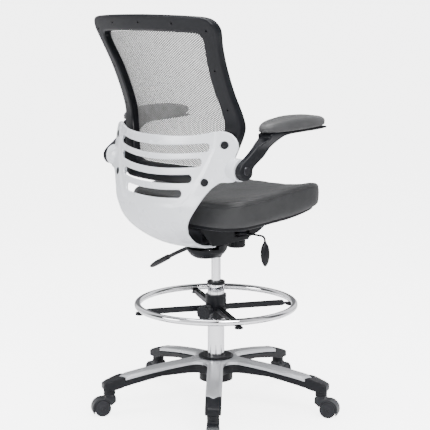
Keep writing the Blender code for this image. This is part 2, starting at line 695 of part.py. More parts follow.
def shell_point(u, run, depth):
    """Point on the shell: u across, run down the spine, depth in from the rear face."""
    y = np.interp(run, spine_run, spine_y)
    z = np.interp(run, spine_run, spine_z)
    y1 = np.interp(run + 0.004, spine_run, spine_y) - np.interp(run - 0.004, spine_run, spine_y)
    z1 = np.interp(run + 0.004, spine_run, spine_z) - np.interp(run - 0.004, spine_run, spine_z)
    size = hypot(y1, z1)
    inward = (z1 / size, -y1 / size)
    radius = bend_radius(run)
    rise = u * u / (2 * radius)
    slope = u / radius
    tilt = hypot(1, slope)
    across = -slope / tilt * depth
    inn = rise + depth / tilt
    return Vector((u + across, y + inward[0] * inn, z + inward[1] * inn))


def drop(points):
    """Turn (across, height) pairs into (across, run) pairs."""
    return [(u, run_at(z)) for u, z in points]


edge = drop([(0, 0.839), (0.080, 0.841), (0.140, 0.847), (0.180, 0.857), (0.208, 0.8630),
             (0.234, 0.856), (0.2490, 0.836), (0.2520, 0.815), (0.2480, 0.798), (0.2500, 0.788),
             (0.2575, 0.779), (0.2590, 0.755), (0.2575, 0.734), (0.2450, 0.7265),
             (0.2210, 0.7235), (0.2070, 0.7130), (0.1955, 0.7000), (0.1824, 0.680),
             (0.1662, 0.650), (0.1480, 0.620), (0.1375, 0.600), (0.1280, 0.580),
             (0.1180, 0.560), (0.1100, 0.548)])
edge += [(0.101, run_at_y(0.205)), (0.092, run_at_y(0.183)), (0.074, run_at_y(0.145)),
         (0.057, run_at_y(0.105)), (0.050, run_at_y(0.072)), (0.0475, run_at_y(0.0465))]
shell_half = smooth(edge, 0.016) + [(0.024, run_at_y(0.0465)), (0, run_at_y(0.0465))]


def slot(reach, end_z, droop):
    """Slot across the shell: half length, height of its ends and drop at the middle."""
    half = 0.0112
    line = [(u, end_z - droop * (1 - (u / reach) ** 2)) for u in np.linspace(-reach, reach, 11)]
    upper = [(u, z + half) for u, z in line[1:-1]]
    lower = [(u, z - half) for u, z in line[1:-1]]
    right = [(reach - 0.0095 + 0.0112 * cos(t), end_z + half * sin(t)) for t in (0.8, 0, -0.8)]
    left = [(-x, z) for x, z in reversed(right)]
    return drop(upper + right + lower[::-1] + left)


slots = [slot(0.182, 0.8165, 0.017), slot(0.165, 0.7735, 0.014), slot(0.141, 0.7275, 0.010),
         slot(0.114, 0.6835, 0.007)]
bolts = [(sign * u, run_at(z), label, row) for u, z, row in
         (UPPER_BOLT + ("upper",), LOWER_BOLT + ("lower",)) for sign, label in
         ((1, "left"), (-1, "right"))]
boss_depth = {"upper": 0.0195, "lower": 0.0235}
pads = []
for u, run, label, row in bolts:
    depth = boss_depth[row]
    pads.append((circle(u, run, 0.0140, 14), lambda x, y, d=depth: d, None))
    pads.append((circle(u, run, 0.0114, 14), None, lambda x, y: 0.0048))
bolt_holes = [circle(u, run, 0.0052, 10) for u, run, label, row in bolts]
shell_line = mirrored(shell_half)
shell = plate("back_shell", shell_line, lambda u, run: SHELL_WALL, lambda u, run: 0.0, PEARL,
              holes=slots + bolt_holes, steps=pads, grid=0.024, place=shell_point,
              pivot=(0, 0.2, 0.7))
for sign, label in ((1, "left"), (-1, "right")):
    boss = turned(f"{label}_boss_cutter", [(0.0270, 0.2250), (0.0310, 0.2350), (0.0310, 0.2610)],
                  PEARL, (0, ARM_PIVOT[1], ARM_PIVOT[2]), (sign, 0, 0), 24)
    boss.hide_render = True
    boss.display_type = "WIRE"
    join = shell.modifiers.new(f"{label} boss", "BOOLEAN")
    join.operation = "UNION"
    join.solver = "EXACT"
    join.object = boss
    bore = turned(f"{label}_bore_cutter", [(0.0066, 0.2420), (0.0066, 0.2700)], PEARL,
                  (0, ARM_PIVOT[1], ARM_PIVOT[2]), (sign, 0, 0), 16)
    bore.hide_render = True
    bore.display_type = "WIRE"
    cut = shell.modifiers.new(f"{label} bore", "BOOLEAN")
    cut.operation = "DIFFERENCE"
    cut.solver = "EXACT"
    cut.object = bore

for u, run, label, row in bolts:
    seat = shell_point(u, run, -0.0012)
    inner = shell_point(u, run, 0.02)
    turned(f"back_bolt_{row}_{label}",
           [(0.0090, 0.0), (0.0104, 0.0012), (0.0104, 0.0046), (0.0040, 0.0046),
            (0.0040, boss_depth[row])],
           BLACK, seat, (inner - seat).normalized(), 12)

# ------------------------------------------------------ back frame, mesh

frame_edge = curve([(0.69, 0.148), (0.740, 0.1390), (0.775, 0.1305), (0.820, 0.1195),
                    (0.850, 0.1145), (0.880, 0.1150), (0.908, 0.1225), (0.959, 0.1435),
                    (1.022, 0.1710), (1.080, 0.2000), (1.131, 0.2240), (1.175, 0.2420)])


def frame_point(x, z, depth):
    """Point on the back frame: depth is measured back from its front face."""
    y = frame_edge(z) + 0.040 * (1 - (x / 0.235) ** 2)
    return (x, y + depth, z)


side_line = [(0, 0.7000), (0.120, 0.7005), (0.170, 0.7040), (0.1950, 0.7200), (0.2060, 0.7450),
             (0.2140, 0.7750), (0.2260, 0.8200), (0.2330, 0.8500), (0.2340, 0.8700),
             (0.2285, 0.9080), (0.2230, 0.9590), (0.2240, 1.0220), (0.2325, 1.0800),
             (0.2420, 1.1180), (0.2425, 1.1350), (0.2330, 1.1520), (0.2120, 1.1610),
             (0.1600, 1.1650), (0.080, 1.1675), (0, 1.1685)]
window_line = [(0, 0.7500), (0.090, 0.7500), (0.1290, 0.7530), (0.1500, 0.7660),
               (0.1630, 0.7900), (0.1790, 0.8300), (0.1880, 0.8600), (0.1865, 0.9000),
               (0.1820, 0.9590), (0.1840, 1.0220), (0.1930, 1.0700), (0.1985, 1.0980),
               (0.1930, 1.1130), (0.1740, 1.1190), (0.080, 1.1225), (0, 1.1235)]
frame_line = mirrored(smooth(side_line, 0.026))
window = mirrored(smooth(window_line, 0.026))
plate("back_frame", frame_line, lambda x, z: FRAME_DEPTH, lambda x, z: 0.0, BLACK,
      holes=[window], grid=0.040, place=frame_point, pivot=(0, 0.17, 0.9))
mesh_line = [(x * 0.997, 0.9335 + (z - 0.9335) * 0.998) for x, z in window]
plate("back_mesh", mesh_line, lambda x, z: 0.0050, lambda x, z: 0.0036, MESH_CLOTH,
      grid=0.045, place=frame_point, pivot=(0, 0.17, 0.9))

# ------------------------------------------------------------------ arms

arm_line = smooth([(0.1915, 0.7600), (0.1850, 0.7700), (0.1700, 0.7810), (0.1565, 0.7895),
                   (0.1350, 0.8060), (0.1133, 0.8230), (0.0950, 0.8350), (0.0850, 0.8490),
                   (0.0000, 0.8530), (-0.0600, 0.8552), (-0.1250, 0.8572), (-0.1380, 0.8550),
                   (-0.1380, 0.8512), (-0.0966, 0.8475), (-0.0300, 0.8450), (0.0200, 0.8420),
                   (0.0465, 0.8340), (0.0700, 0.8120), (0.0980, 0.7857), (0.1290, 0.7660),
                   (0.1410, 0.7540), (0.1425, 0.7400), (0.1530, 0.7290), (0.1670, 0.7255),
                   (0.1810, 0.7290), (0.1910, 0.7410), (0.1930, 0.7520)], 0.016, closed=True)


def pad_under(x, y):
    """Underside of an arm pad, a little higher towards its front."""
    return 0.8545 - 0.036 * (y + 0.020)


def pad_crown(y):
    """Height of a pad's crest, falling away gently towards both ends."""
    return 0.8907 - 0.55 * (y + 0.045) ** 2


def pad_skin(share):
    """Height between a pad's underside and its crest."""
    return lambda x, y: pad_under(x, y) + share * (pad_crown(y) - pad_under(x, y))


pad_line = []
for k in range(36):
    t = 2 * pi * (k + 0.5) / 36
    wide = 0.0410 * abs(cos(t)) ** (2 / 2.25)
    long = 0.1275 * abs(sin(t)) ** (2 / 2.25)
    pad_line.append((wide if cos(t) > 0 else -wide, (long if sin(t) > 0 else -long) + PAD_MIDDLE))


def spread(y, z):
    """Share of the arm's full width, which grows from the pivot to the pad."""
    return ease((z - 0.805) / 0.042)


for side, label in ((1, "left"), (-1, "right")):
    outer = lambda y, z: ARM_OUTER + 0.022 * spread(y, z)
    inner = lambda y, z: ARM_INNER - 0.010 * spread(y, z)
    plate(f"arm_link_{label}", arm_line, outer, inner, BLACK,
          holes=[circle(ARM_PIVOT[1], ARM_PIVOT[2], 0.0066, 16)], grid=0.026,
          place=lambda y, z, x, side=side: (side * x, y, z), pivot=ARM_PIVOT)
    turned(f"arm_pin_{label}", [(0.0063, 0.2425), (0.0063, ARM_OUTER + 0.0003),
                                (0.0120, ARM_OUTER + 0.0003), (0.0105, ARM_OUTER + 0.0030)],
           DARK_STEEL, (0, ARM_PIVOT[1], ARM_PIVOT[2]), (side, 0, 0), 16)
    line = [(side * PAD_OUT + x, y) for x, y in pad_line]
    cushion(f"arm_pad_{label}", line, (side * PAD_OUT, PAD_MIDDLE),
            [(0.50, pad_skin(0.0)), (0.12, pad_skin(0.0)), (0.035, pad_skin(0.06)),
             (0.008, pad_skin(0.20)), (0.000, pad_skin(0.40)), (0.020, pad_skin(0.62)),
             (0.075, pad_skin(0.80)), (0.180, pad_skin(0.91)), (0.360, pad_skin(0.975)),
             (0.640, pad_skin(0.998))], pad_crown(PAD_MIDDLE), ARM_VINYL, ARM_PIVOT)
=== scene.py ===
"""Looks for the drafting chair: fine shells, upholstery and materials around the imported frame."""

from math import cos, hypot, pi, radians, sin

import bmesh
import bpy
import numpy as np
from mathutils import Matrix, Vector, noise
from mathutils.geometry import delaunay_2d_cdt


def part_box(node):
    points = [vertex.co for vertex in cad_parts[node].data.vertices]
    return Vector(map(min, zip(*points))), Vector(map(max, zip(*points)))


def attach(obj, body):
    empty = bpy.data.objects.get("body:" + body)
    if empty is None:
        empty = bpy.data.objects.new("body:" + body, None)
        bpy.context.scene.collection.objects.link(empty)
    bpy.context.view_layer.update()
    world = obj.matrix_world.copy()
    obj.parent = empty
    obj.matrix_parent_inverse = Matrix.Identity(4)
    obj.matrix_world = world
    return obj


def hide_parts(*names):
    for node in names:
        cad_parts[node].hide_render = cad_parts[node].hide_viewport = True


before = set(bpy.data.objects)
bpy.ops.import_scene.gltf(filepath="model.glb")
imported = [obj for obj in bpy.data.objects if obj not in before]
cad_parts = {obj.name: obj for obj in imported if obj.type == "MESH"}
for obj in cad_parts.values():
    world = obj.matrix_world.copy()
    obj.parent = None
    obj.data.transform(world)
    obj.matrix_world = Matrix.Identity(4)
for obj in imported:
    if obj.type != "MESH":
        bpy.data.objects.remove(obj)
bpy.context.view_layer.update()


def node_middle(node):
    low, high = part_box(node)
    return (low + high) / 2


COLUMN = node_middle("column_tube")
COLUMN.z = 0
SIDES = ((1, "left"), (-1, "right"))

# base
LEG_COUNT = 5
LEG_ANGLES = [radians(61.6 + 72 * k) for k in range(LEG_COUNT)]
LEG_LENGTH = 0.347
LEG_HALF_WIDTH = 0.0225
LEG_ROOT_RADIUS = 0.04
COVER_LENGTH = 0.302
COVER_SKIRT = 0.012
COVER_WALL = 0.0035
COVER_PLAY = 0.0008
HUB_RADIUS = 0.05
HUB_BOTTOM = 0.083
CASTER_REACH = 0.327
CASTER_TRAIL = 0.023
WHEEL_RADIUS = 0.0245
HOOD_RADIUS = 0.0305
SOCKET_RADIUS = 0.0175
SOCKET_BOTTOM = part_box("base_star")[0].z
SOCKET_TOP = 0.0925
AXLE_RADIUS = 0.0045

# column and foot ring
TUBE_RADIUS = 0.025
TUBE_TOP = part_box("column_tube")[1].z
PISTON_RADIUS = 0.014
PISTON_LOW, PISTON_HIGH = (corner.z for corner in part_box("gas_piston"))
RING_RADIUS = 0.2334
RING_TUBE = 0.0098
RING_HEIGHT = node_middle("foot_ring").z
SPOKE_ANGLES = [radians(61 + 90 * k) for k in range(4)]
CLAMP_ANGLE = radians(106)
CLAMP_HEIGHT = 0.3
GAP = 0.0003

# mechanism, seat, back and arms
TILT = (-0.06, 0.519)
AXLE_HOLE = 0.0066
TENSION_Y = -0.086
COVER_MIDDLE = 0.0365
SEAT_HALF_WIDTH = 0.235
SEAT_FRONT = -0.245
SEAT_REAR = 0.17
SEAT_PLAY = 0.0006
SEAT_MIDDLE = (0.0, -0.035)
SHELL_WALL = 0.009
FRAME_DEPTH = 0.03
ARM_PIVOT = (0.0, 0.167, 0.753)
ARM_INNER = 0.2633
ARM_OUTER = 0.2835
PAD_OUT = 0.2786
PAD_MIDDLE = -0.0207
UPPER_BOLT = (0.219, 0.8255)
LOWER_BOLT = (0.1795, 0.7205)
WINDOW_MIDDLE = 0.9335


# ---------------------------------------------------------------- shapes

def ease(t):
    """Smooth step from 0 to 1."""
    t = min(max(t, 0.0), 1.0)
    return t * t * (3 - 2 * t)


def curve(pairs):
    """Piecewise linear function through (input, output) pairs sorted by input."""
    xs = [p[0] for p in pairs]
    ys = [p[1] for p in pairs]
    return lambda x: float(np.interp(x, xs, ys))


def level(height):
    """Height field that is the same everywhere."""
    return lambda x, y: height


def mm(*rows):
    """Points given in millimetres, in metres."""
    return [tuple(value / 1000 for value in row) for row in rows]


def circle(cx, cy, radius, count=48, start=0.0):
    """Points round a circle."""
    turn = 2 * pi / count
    return [(cx + radius * cos(start + k * turn), cy + radius * sin(start + k * turn))
            for k in range(count)]


def smooth(points, step, closed=False):
    """Catmull-Rom curve through points, resampled about every step."""
    pts = [np.array(p, float) for p in points]
    count = len(pts)
    fine = []
    for k in range(count if closed else count - 1):
        if closed:
            a, b, c, d = (pts[(k + j - 1) % count] for j in range(4))
        else:
            a, b, c, d = (pts[min(max(k + j - 1, 0), count - 1)] for j in range(4))
        for t in np.linspace(0, 1, 12, endpoint=False):
            fine.append(0.5 * (2 * b + (c - a) * t + (2 * a - 5 * b + 4 * c - d) * t * t
                               + (3 * b - a - 3 * c + d) * t ** 3))
    fine.append(pts[0] if closed else pts[-1])
    fine = np.array(fine)
    run = np.concatenate([[0], np.cumsum(np.linalg.norm(np.diff(fine, axis=0), axis=1))])
    pieces = max(2, int(round(run[-1] / step)))
    marks = np.linspace(0, run[-1], pieces + 1)
    out = np.stack([np.interp(marks, run, fine[:, j]) for j in range(fine.shape[1])], 1)
    if closed:
        out = out[:-1]
    return [tuple(p) for p in out]


def mirrored(half):
    """Loop made of a half outline, whose ends are on the middle line, and its mirror."""
    return list(half) + [(-x, y) for x, y in reversed(half[1:-1])]


def within(loop, points):
    """For each point, whether it is inside the loop."""
    a = np.array(loop)
    b = np.roll(a, 1, axis=0)
    x = points[:, 0]
    y = points[:, 1]
    found = np.zeros(len(points), bool)
    for (x0, y0), (x1, y1) in zip(a, b):
        crosses = (y0 > y) != (y1 > y)
        if y1 != y0:
            found ^= crosses & (x < (x1 - x0) * (y - y0) / (y1 - y0) + x0)
    return found


def near(loop, points):
    """Distance of each point from the nearest side of the loop."""
    a = np.array(loop)
    b = np.roll(a, -1, axis=0)
    run = b - a
    size = np.maximum((run ** 2).sum(1), 1e-18)
    best = np.full(len(points), 1e9)
    for k in range(len(a)):
        t = np.clip(((points - a[k]) @ run[k]) / size[k], 0, 1)
        gap = np.linalg.norm(points - (a[k] + t[:, None] * run[k]), axis=1)
        best = np.minimum(best, gap)
    return best


def rounded(radius, stops=4):
    """Edge profile of a quarter round: (distance in from the edge, drop) pairs."""
    out = []
    for k in range(stops + 1):
        t = pi / 2 * k / stops
        out.append((radius * (1 - cos(t)), radius * (1 - sin(t))))
    return out


def add_object(name, data):
    """New object in the scene."""
    obj = bpy.data.objects.new(name, data)
    bpy.context.scene.collection.objects.link(obj)
    return obj


def make(name, verts, faces, material, body, nodes=(), slot="black_nylon", crease=38):
    """Object riding on a body, from vertices measured from the column's axis."""
    mesh = bpy.data.meshes.new(name)
    mesh.from_pydata([Vector(v) + COLUMN for v in verts], [], faces)
    work = bmesh.new()
    work.from_mesh(mesh)
    bmesh.ops.recalc_face_normals(work, faces=work.faces)
    work.to_mesh(mesh)
    work.free()
    mesh.shade_smooth()
    mesh.set_sharp_from_angle(angle=radians(crease))
    mesh.materials.append(material)
    obj = add_object(name, mesh)
    if crease < 90:
        even = obj.modifiers.new("even_normals", "WEIGHTED_NORMAL")
        even.keep_sharp = True
    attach(obj, body)
    if nodes:
        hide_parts(*nodes)
    return obj


def plate(outline, top, bottom, holes=(), steps=(), grid=0.01, place=None,
          top_edge=(), bottom_edge=(), hole_edges=True):
    """Vertices and faces of a closed body between two height fields over an outline.

    Each step is (loop, top, bottom): inside that loop the given fields replace the
    outer ones, and None keeps the outer one. The edge profiles are (distance, drop) pairs.
    place turns (a, b, height) into a position.
    """
    rims = [outline] + (list(holes) if hole_edges else [])
    loops = [outline] + list(holes) + [step[0] for step in steps]
    points = []
    edges = []
    for loop in loops:
        first = len(points)
        points += list(loop)
        edges += [(first + k, first + (k + 1) % len(loop)) for k in range(len(loop))]
    reaches = sorted({pair[0] for pair in (*top_edge, *bottom_edge) if pair[0] > 1e-6})
    extra = []
    for loop in rims:
        a = np.array(loop)
        tangent = np.roll(a, -1, axis=0) - np.roll(a, 1, axis=0)
        tangent /= np.linalg.norm(tangent, axis=1)[:, None]
        normal = np.stack([-tangent[:, 1], tangent[:, 0]], 1)
        probe = within(loop, a + normal * 1e-5)
        want_inside = loop is outline
        normal[probe != want_inside] *= -1
        for d in reaches:
            shifted = a + normal * d
            extra.append(shifted[near(loop, shifted) > 0.93 * d])
    low = np.min(outline, axis=0)
    high = np.max(outline, axis=0)
    rows = []
    for j, y in enumerate(np.arange(low[1], high[1], grid * 0.87)):
        rows += [(x, y) for x in np.arange(low[0] + (j % 2) * grid / 2, high[0], grid)]
    inner = np.array(rows).reshape(-1, 2)
    keep_off = (max(reaches) if reaches else 0) + 0.4 * grid
    for loop in loops:
        clear = keep_off if any(loop is rim for rim in rims) else 0.4 * grid
        inner = inner[near(loop, inner) > clear]
    if extra:
        rings = np.concatenate(extra)
        for loop in loops[len(rims):]:
            rings = rings[near(loop, rings) > 0.0004]
        inner = np.concatenate([rings, inner])
    inner = inner[within(outline, inner)]
    points += [tuple(p) for p in inner]
    found = delaunay_2d_cdt([Vector(p) for p in points], edges, [], 0, 1e-7, False)
    flat = np.array([(p.x, p.y) for p in found[0]])
    cells = np.array(found[2])
    middles = flat[cells].mean(axis=1)
    keep = within(outline, middles)
    for hole in holes:
        keep &= ~within(hole, middles)
    cells = cells[keep]
    middles = middles[keep]
    ups = [top] * len(cells)
    downs = [bottom] * len(cells)
    for loop, new_top, new_bottom in steps:
        for k in np.nonzero(within(loop, middles))[0]:
            ups[k] = new_top or ups[k]
            downs[k] = new_bottom or downs[k]
    gaps = np.min([near(rim, flat) for rim in rims], axis=0)
    fall_top = np.zeros(len(flat))
    fall_bottom = np.zeros(len(flat))
    if top_edge:
        fall_top = np.interp(gaps, *np.array(top_edge).T)
    if bottom_edge:
        fall_bottom = np.interp(gaps, *np.array(bottom_edge).T)
    fields = {}
    levels = {}
    lookup = {}
    verts = []
    sides = {}
    faces = []

    def height(v, field, fall):
        key = (v, id(field))
        if key not in fields:
            fields[key] = round(float(field(*flat[v])) + fall, 7)
        return fields[key]

    def corner(v, z):
        if (v, z) not in lookup:
            lookup[v, z] = len(verts)
            x, y = flat[v]
            verts.append(place(x, y, z) if place else (x, y, z))
        return lookup[v, z]

    for face, up, down in zip(cells.tolist(), ups, downs):
        high_z = [height(v, up, -fall_top[v]) for v in face]
        low_z = [height(v, down, fall_bottom[v]) for v in face]
        for v, z0, z1 in zip(face, low_z, high_z):
            levels.setdefault(v, set()).update((z0, z1))
        faces.append([corner(v, z) for v, z in zip(face, high_z)])
        faces.append([corner(v, z) for v, z in reversed(list(zip(face, low_z)))])
        for k in range(3):
            pair = (face[k], face[(k + 1) % 3])
            sides.setdefault(tuple(sorted(pair)), []).append((up, down))

    def wall(a, b, low_field, high_field):
        def climb(v):
            z0 = fields[v, id(low_field)]
            z1 = fields[v, id(high_field)]
            span = sorted(z for z in levels[v] if min(z0, z1) <= z <= max(z0, z1))
            return span if z0 <= z1 else span[::-1]
        ring = [corner(a, z) for z in climb(a)] + [corner(b, z) for z in reversed(climb(b))]
        ring = [v for k, v in enumerate(ring) if v != ring[k - 1]]
        if len(ring) > 2:
            faces.append(ring)

    for (a, b), owners in sides.items():
        if len(owners) == 1:
            wall(a, b, owners[0][1], owners[0][0])
        else:
            for side in (0, 1):
                if owners[0][side] is not owners[1][side]:
                    wall(a, b, owners[0][side], owners[1][side])
    return verts, faces


def loft(rings, closed=False):
    """Vertices and faces of a closed body through rings of points."""
    verts = [p for ring in rings for p in ring]
    count = len(rings[0])
    faces = []
    for k in range(len(rings) if closed else len(rings) - 1):
        here = k * count
        there = ((k + 1) % len(rings)) * count
        for j in range(count):
            n = (j + 1) % count
            faces.append([here + j, here + n, there + n, there + j])
    if not closed:
        faces.append(list(range(count)))
        faces.append([len(verts) - count + j for j in range(count)])
    return verts, faces


def turned(profile, base=(0, 0, 0), axis=(0, 0, 1), segments=72, hollow=False, lobes=0, depth=0.0):
    """Body of revolution from (radius, height) pairs; lobes make a fluted grip of that depth."""
    turn = Vector((0, 0, 1)).rotation_difference(Vector(axis)).to_matrix()
    rings = []
    widest = max(radius for radius, height in profile)
    for radius, height in profile:
        ring = []
        for k in range(segments):
            t = 2 * pi * k / segments
            r = radius
            if lobes and radius > 0.8 * widest:
                r = radius - depth * (0.5 + 0.5 * cos(lobes * t)) ** 2
            ring.append(Vector(base) + turn @ Vector((r * cos(t), r * sin(t), height)))
        rings.append(ring)
    return loft(rings, closed=hollow)


def soft_profile(points, radius=0.0012, stops=3):
    """Turned profile with each of its inner corners rounded."""
    out = [points[0]]
    for k in range(1, len(points) - 1):
        a, b, c = (np.array(points[k + j], float) for j in (-1, 0, 1))
        first = min(radius, 0.45 * np.linalg.norm(a - b))
        last = min(radius, 0.45 * np.linalg.norm(c - b))
        p = b + (a - b) / np.linalg.norm(a - b) * first
        q = b + (c - b) / np.linalg.norm(c - b) * last
        for t in np.linspace(0, 1, stops + 1):
            out.append(tuple((1 - t) ** 2 * p + 2 * t * (1 - t) * b + t * t * q))
    out.append(points[-1])
    return out


def soft_section(points, radius=0.0012, stops=3):
    """Closed turned section with every corner rounded."""
    ring = soft_profile([points[-1]] + list(points) + [points[0]], radius, stops)
    return ring[1:-1]


def sweep(path, sizes, flat_axis=(0, 1, 0), segments=28):
    """Body with an elliptical section along a path; sizes holds (half width, half depth)."""
    rings = []
    for k, point in enumerate(path):
        ahead = Vector(path[min(k + 1, len(path) - 1)]) - Vector(path[max(k - 1, 0)])
        ahead.normalize()
        side = Vector(flat_axis) - ahead * ahead.dot(Vector(flat_axis))
        side.normalize()
        other = ahead.cross(side)
        rings.append([Vector(point) + side * (sizes[k][0] * x) + other * (sizes[k][1] * y)
                      for x, y in circle(0, 0, 1, segments)])
    return loft(rings)


def fine_sweep(stations, step=0.004, **more):
    """Sweep through stations of (x, y, z, half width, half depth), smoothed."""
    rows = smooth(stations, step)
    return sweep([row[:3] for row in rows], [row[3:] for row in rows], **more)


def pucker(obj, base, *waves):
    """Soft unevenness over a padded piece above its base; waves are (length, depth)."""
    mesh = obj.data
    normals = [v.normal.copy() for v in mesh.vertices]
    for v, normal in zip(mesh.vertices, normals):
        here = v.co - COLUMN
        share = ease((here.z - base(here.x, here.y) - 0.004) / 0.012)
        for length, depth in waves:
            v.co += normal * (share * depth * noise.noise(here / length))
    mesh.update()


def pillow(outline, middle, layers):
    """Upholstered body: rings of the outline drawn in by each (share, height) layer."""
    rings = []
    for share, height in layers:
        ring = []
        for x, y in outline:
            px = x + (middle[0] - x) * share
            py = y + (middle[1] - y) * share
            ring.append((px, py, height(px, py)))
        rings.append(ring)
    verts, faces = loft(rings)
    del faces[-2:]
    count = len(outline)
    verts.append((*middle, layers[0][1](*middle)))
    verts.append((*middle, layers[-1][1](*middle)))
    last = (len(rings) - 1) * count
    for j in range(count):
        n = (j + 1) % count
        faces.append([n, j, len(verts) - 2])
        faces.append([last + j, last + n, len(verts) - 1])
    return verts, faces


# ------------------------------------------------------------- materials

def set_sockets(node, **sockets):
    """Set a node's inputs by their names, with _ for a space."""
    for key, value in sockets.items():
        node.inputs[key.replace("_", " ")].default_value = value
    return node


def add_node(tree, kind, **sockets):
    """New shader node with some of its inputs set."""
    return set_sockets(tree.nodes.new("ShaderNode" + kind), **sockets)


def base_material(name, colour, roughness, metallic=0.0, **sockets):
    """Material, its node tree and its Principled shader."""
    material = bpy.data.materials.new(name)
    material.use_nodes = True
    shader = set_sockets(material.node_tree.nodes["Principled BSDF"], Base_Color=(*colour, 1),
                         Roughness=roughness, Metallic=metallic, **sockets)
    return material, material.node_tree, shader


def texture(tree, kind, scale, **sockets):
    """Main output of a texture in object coordinates."""
    coords = tree.nodes.get("Texture Coordinate") or add_node(tree, "TexCoord")
    node = add_node(tree, "Tex" + kind, Scale=scale, **sockets)
    tree.links.new(coords.outputs["Object"], node.inputs["Vector"])
    return node.outputs[0]


def span(tree, source, low, high, into, start=0.0, end=1.0):
    """Link a value to a socket, mapped to run from low to high."""
    node = add_node(tree, "MapRange", From_Min=start, From_Max=end, To_Min=low, To_Max=high)
    tree.links.new(source, node.inputs["Value"])
    tree.links.new(node.outputs["Result"], into)


def tint(tree, source, first, second, shader):
    """Base colour that varies between two colours."""
    ramp = add_node(tree, "ValToRGB")
    for stop, colour, place in zip(ramp.color_ramp.elements, (first, second), (0.3, 0.7)):
        stop.color = (*colour, 1)
        stop.position = place
    tree.links.new(source, ramp.inputs["Fac"])
    tree.links.new(ramp.outputs["Color"], shader.inputs["Base Color"])


def bumps(tree, shader, *layers):
    """Bump from (source, strength, distance) layers, one on top of another."""
    last = None
    for source, strength, distance in layers:
        bump = add_node(tree, "Bump", Strength=strength, Distance=distance)
        tree.links.new(source, bump.inputs["Height"])
        if last:
            tree.links.new(last.outputs["Normal"], bump.inputs["Normal"])
        last = bump
    tree.links.new(last.outputs["Normal"], shader.inputs["Normal"])


def moulded(name, dark, light, roughness, grain=1400, depth=0.00012, **sockets):
    """Moulded plastic with a fine spark-eroded grain and faint patches of gloss."""
    material, tree, shader = base_material(name, dark, roughness, **sockets)
    patches = texture(tree, "Noise", 14, Detail=4)
    grit = texture(tree, "Noise", grain, Detail=2)
    waves = texture(tree, "Noise", 60, Detail=2)
    tint(tree, patches, dark, light, shader)
    span(tree, patches, roughness - 0.05, roughness + 0.07,
         shader.inputs["Roughness"], 0.3, 0.7)
    bumps(tree, shader, (waves, 0.1, 0.0006), (grit, 0.35, depth))
    return material


def painted(name, first, second, roughness, metallic, coat):
    """Satin paint with a metal flake under a clear coat."""
    material, tree, shader = base_material(name, first, roughness, metallic,
                                           Coat_Weight=coat, Coat_Roughness=0.12)
    flakes = texture(tree, "Voronoi", 1800)
    patches = texture(tree, "Noise", 9, Detail=3)
    peel = texture(tree, "Noise", 220, Detail=2)
    tint(tree, flakes, first, second, shader)
    span(tree, patches, roughness - 0.04, roughness + 0.06,
         shader.inputs["Roughness"], 0.3, 0.7)
    bumps(tree, shader, (peel, 0.06, 0.0004))
    return material


def plated(name, colour, roughness):
    """Chrome plate with faint smears and polishing lines."""
    material, tree, shader = base_material(name, colour, roughness, 1.0)
    smears = texture(tree, "Noise", 26, Detail=5)
    polish = texture(tree, "Noise", 700, Detail=1)
    span(tree, smears, roughness - 0.02, roughness + 0.06,
         shader.inputs["Roughness"], 0.35, 0.75)
    bumps(tree, shader, (polish, 0.02, 0.0002))
    return material


def vinyl(name, dark, light, roughness):
    """Upholstery vinyl with a pebbled leather grain and soft pucker relief, with painted shade:
    darker in the pucker hollows, lighter on their crests.
    """
    material, tree, shader = base_material(name, dark, roughness, Sheen_Weight=0.05,
                                           Sheen_Roughness=0.4,
                                           Specular_IOR_Level=0.3)
    cells = texture(tree, "Voronoi", 620)
    cells.node.feature = "DISTANCE_TO_EDGE"
    pores = texture(tree, "Noise", 1500, Detail=3)
    pucker_relief_and_shade = texture(tree, "Noise", 22, Detail=3)
    # painted shade: the tone follows the pucker noise, dark in its hollows and light on its raised
    # crests, the same noise as the bump below
    tint(tree, pucker_relief_and_shade, dark, light, shader)
    span(tree, cells, roughness + 0.08, roughness - 0.04,
         shader.inputs["Roughness"], 0.0, 0.12)
    bumps(tree, shader, (pucker_relief_and_shade, 0.14, 0.0025),
          (cells, 0.35, 0.0006), (pores, 0.2, 0.0002))
    return material


def knitted(name, colour, shade):
    """Open knitted mesh: rows of small holes between threads, seen through at a distance."""
    material, tree, shader = base_material(name, colour, 0.62, Sheen_Weight=0.25)
    coords = add_node(tree, "TexCoord")
    coords.name = "Texture Coordinate"
    pitch = 0.0046
    waves = []
    for angle in (0.0, 60.0, -60.0):
        turn = add_node(tree, "Mapping", Rotation=(0, radians(angle), 0))
        tree.links.new(coords.outputs["Object"], turn.inputs["Vector"])
        wave = add_node(tree, "TexWave", Scale=2 * pi / (20 * pitch), Distortion=0.4,
                        Detail_Scale=60)
        wave.bands_direction = "X"
        tree.links.new(turn.outputs["Vector"], wave.inputs["Vector"])
        waves.append(wave.outputs["Fac"])
    total = waves[0]
    for other in waves[1:]:
        add = add_node(tree, "Math")
        add.operation = "ADD"
        tree.links.new(total, add.inputs[0])
        tree.links.new(other, add.inputs[1])
        total = add.outputs["Value"]
    span(tree, total, 0.1, 0.95, shader.inputs["Alpha"], 0.8, 1.65)
    slub = texture(tree, "Noise", 40, Detail=3)
    tint(tree, slub, shade, colour, shader)
    bumps(tree, shader, (total, 0.5, 0.0005))
    return material


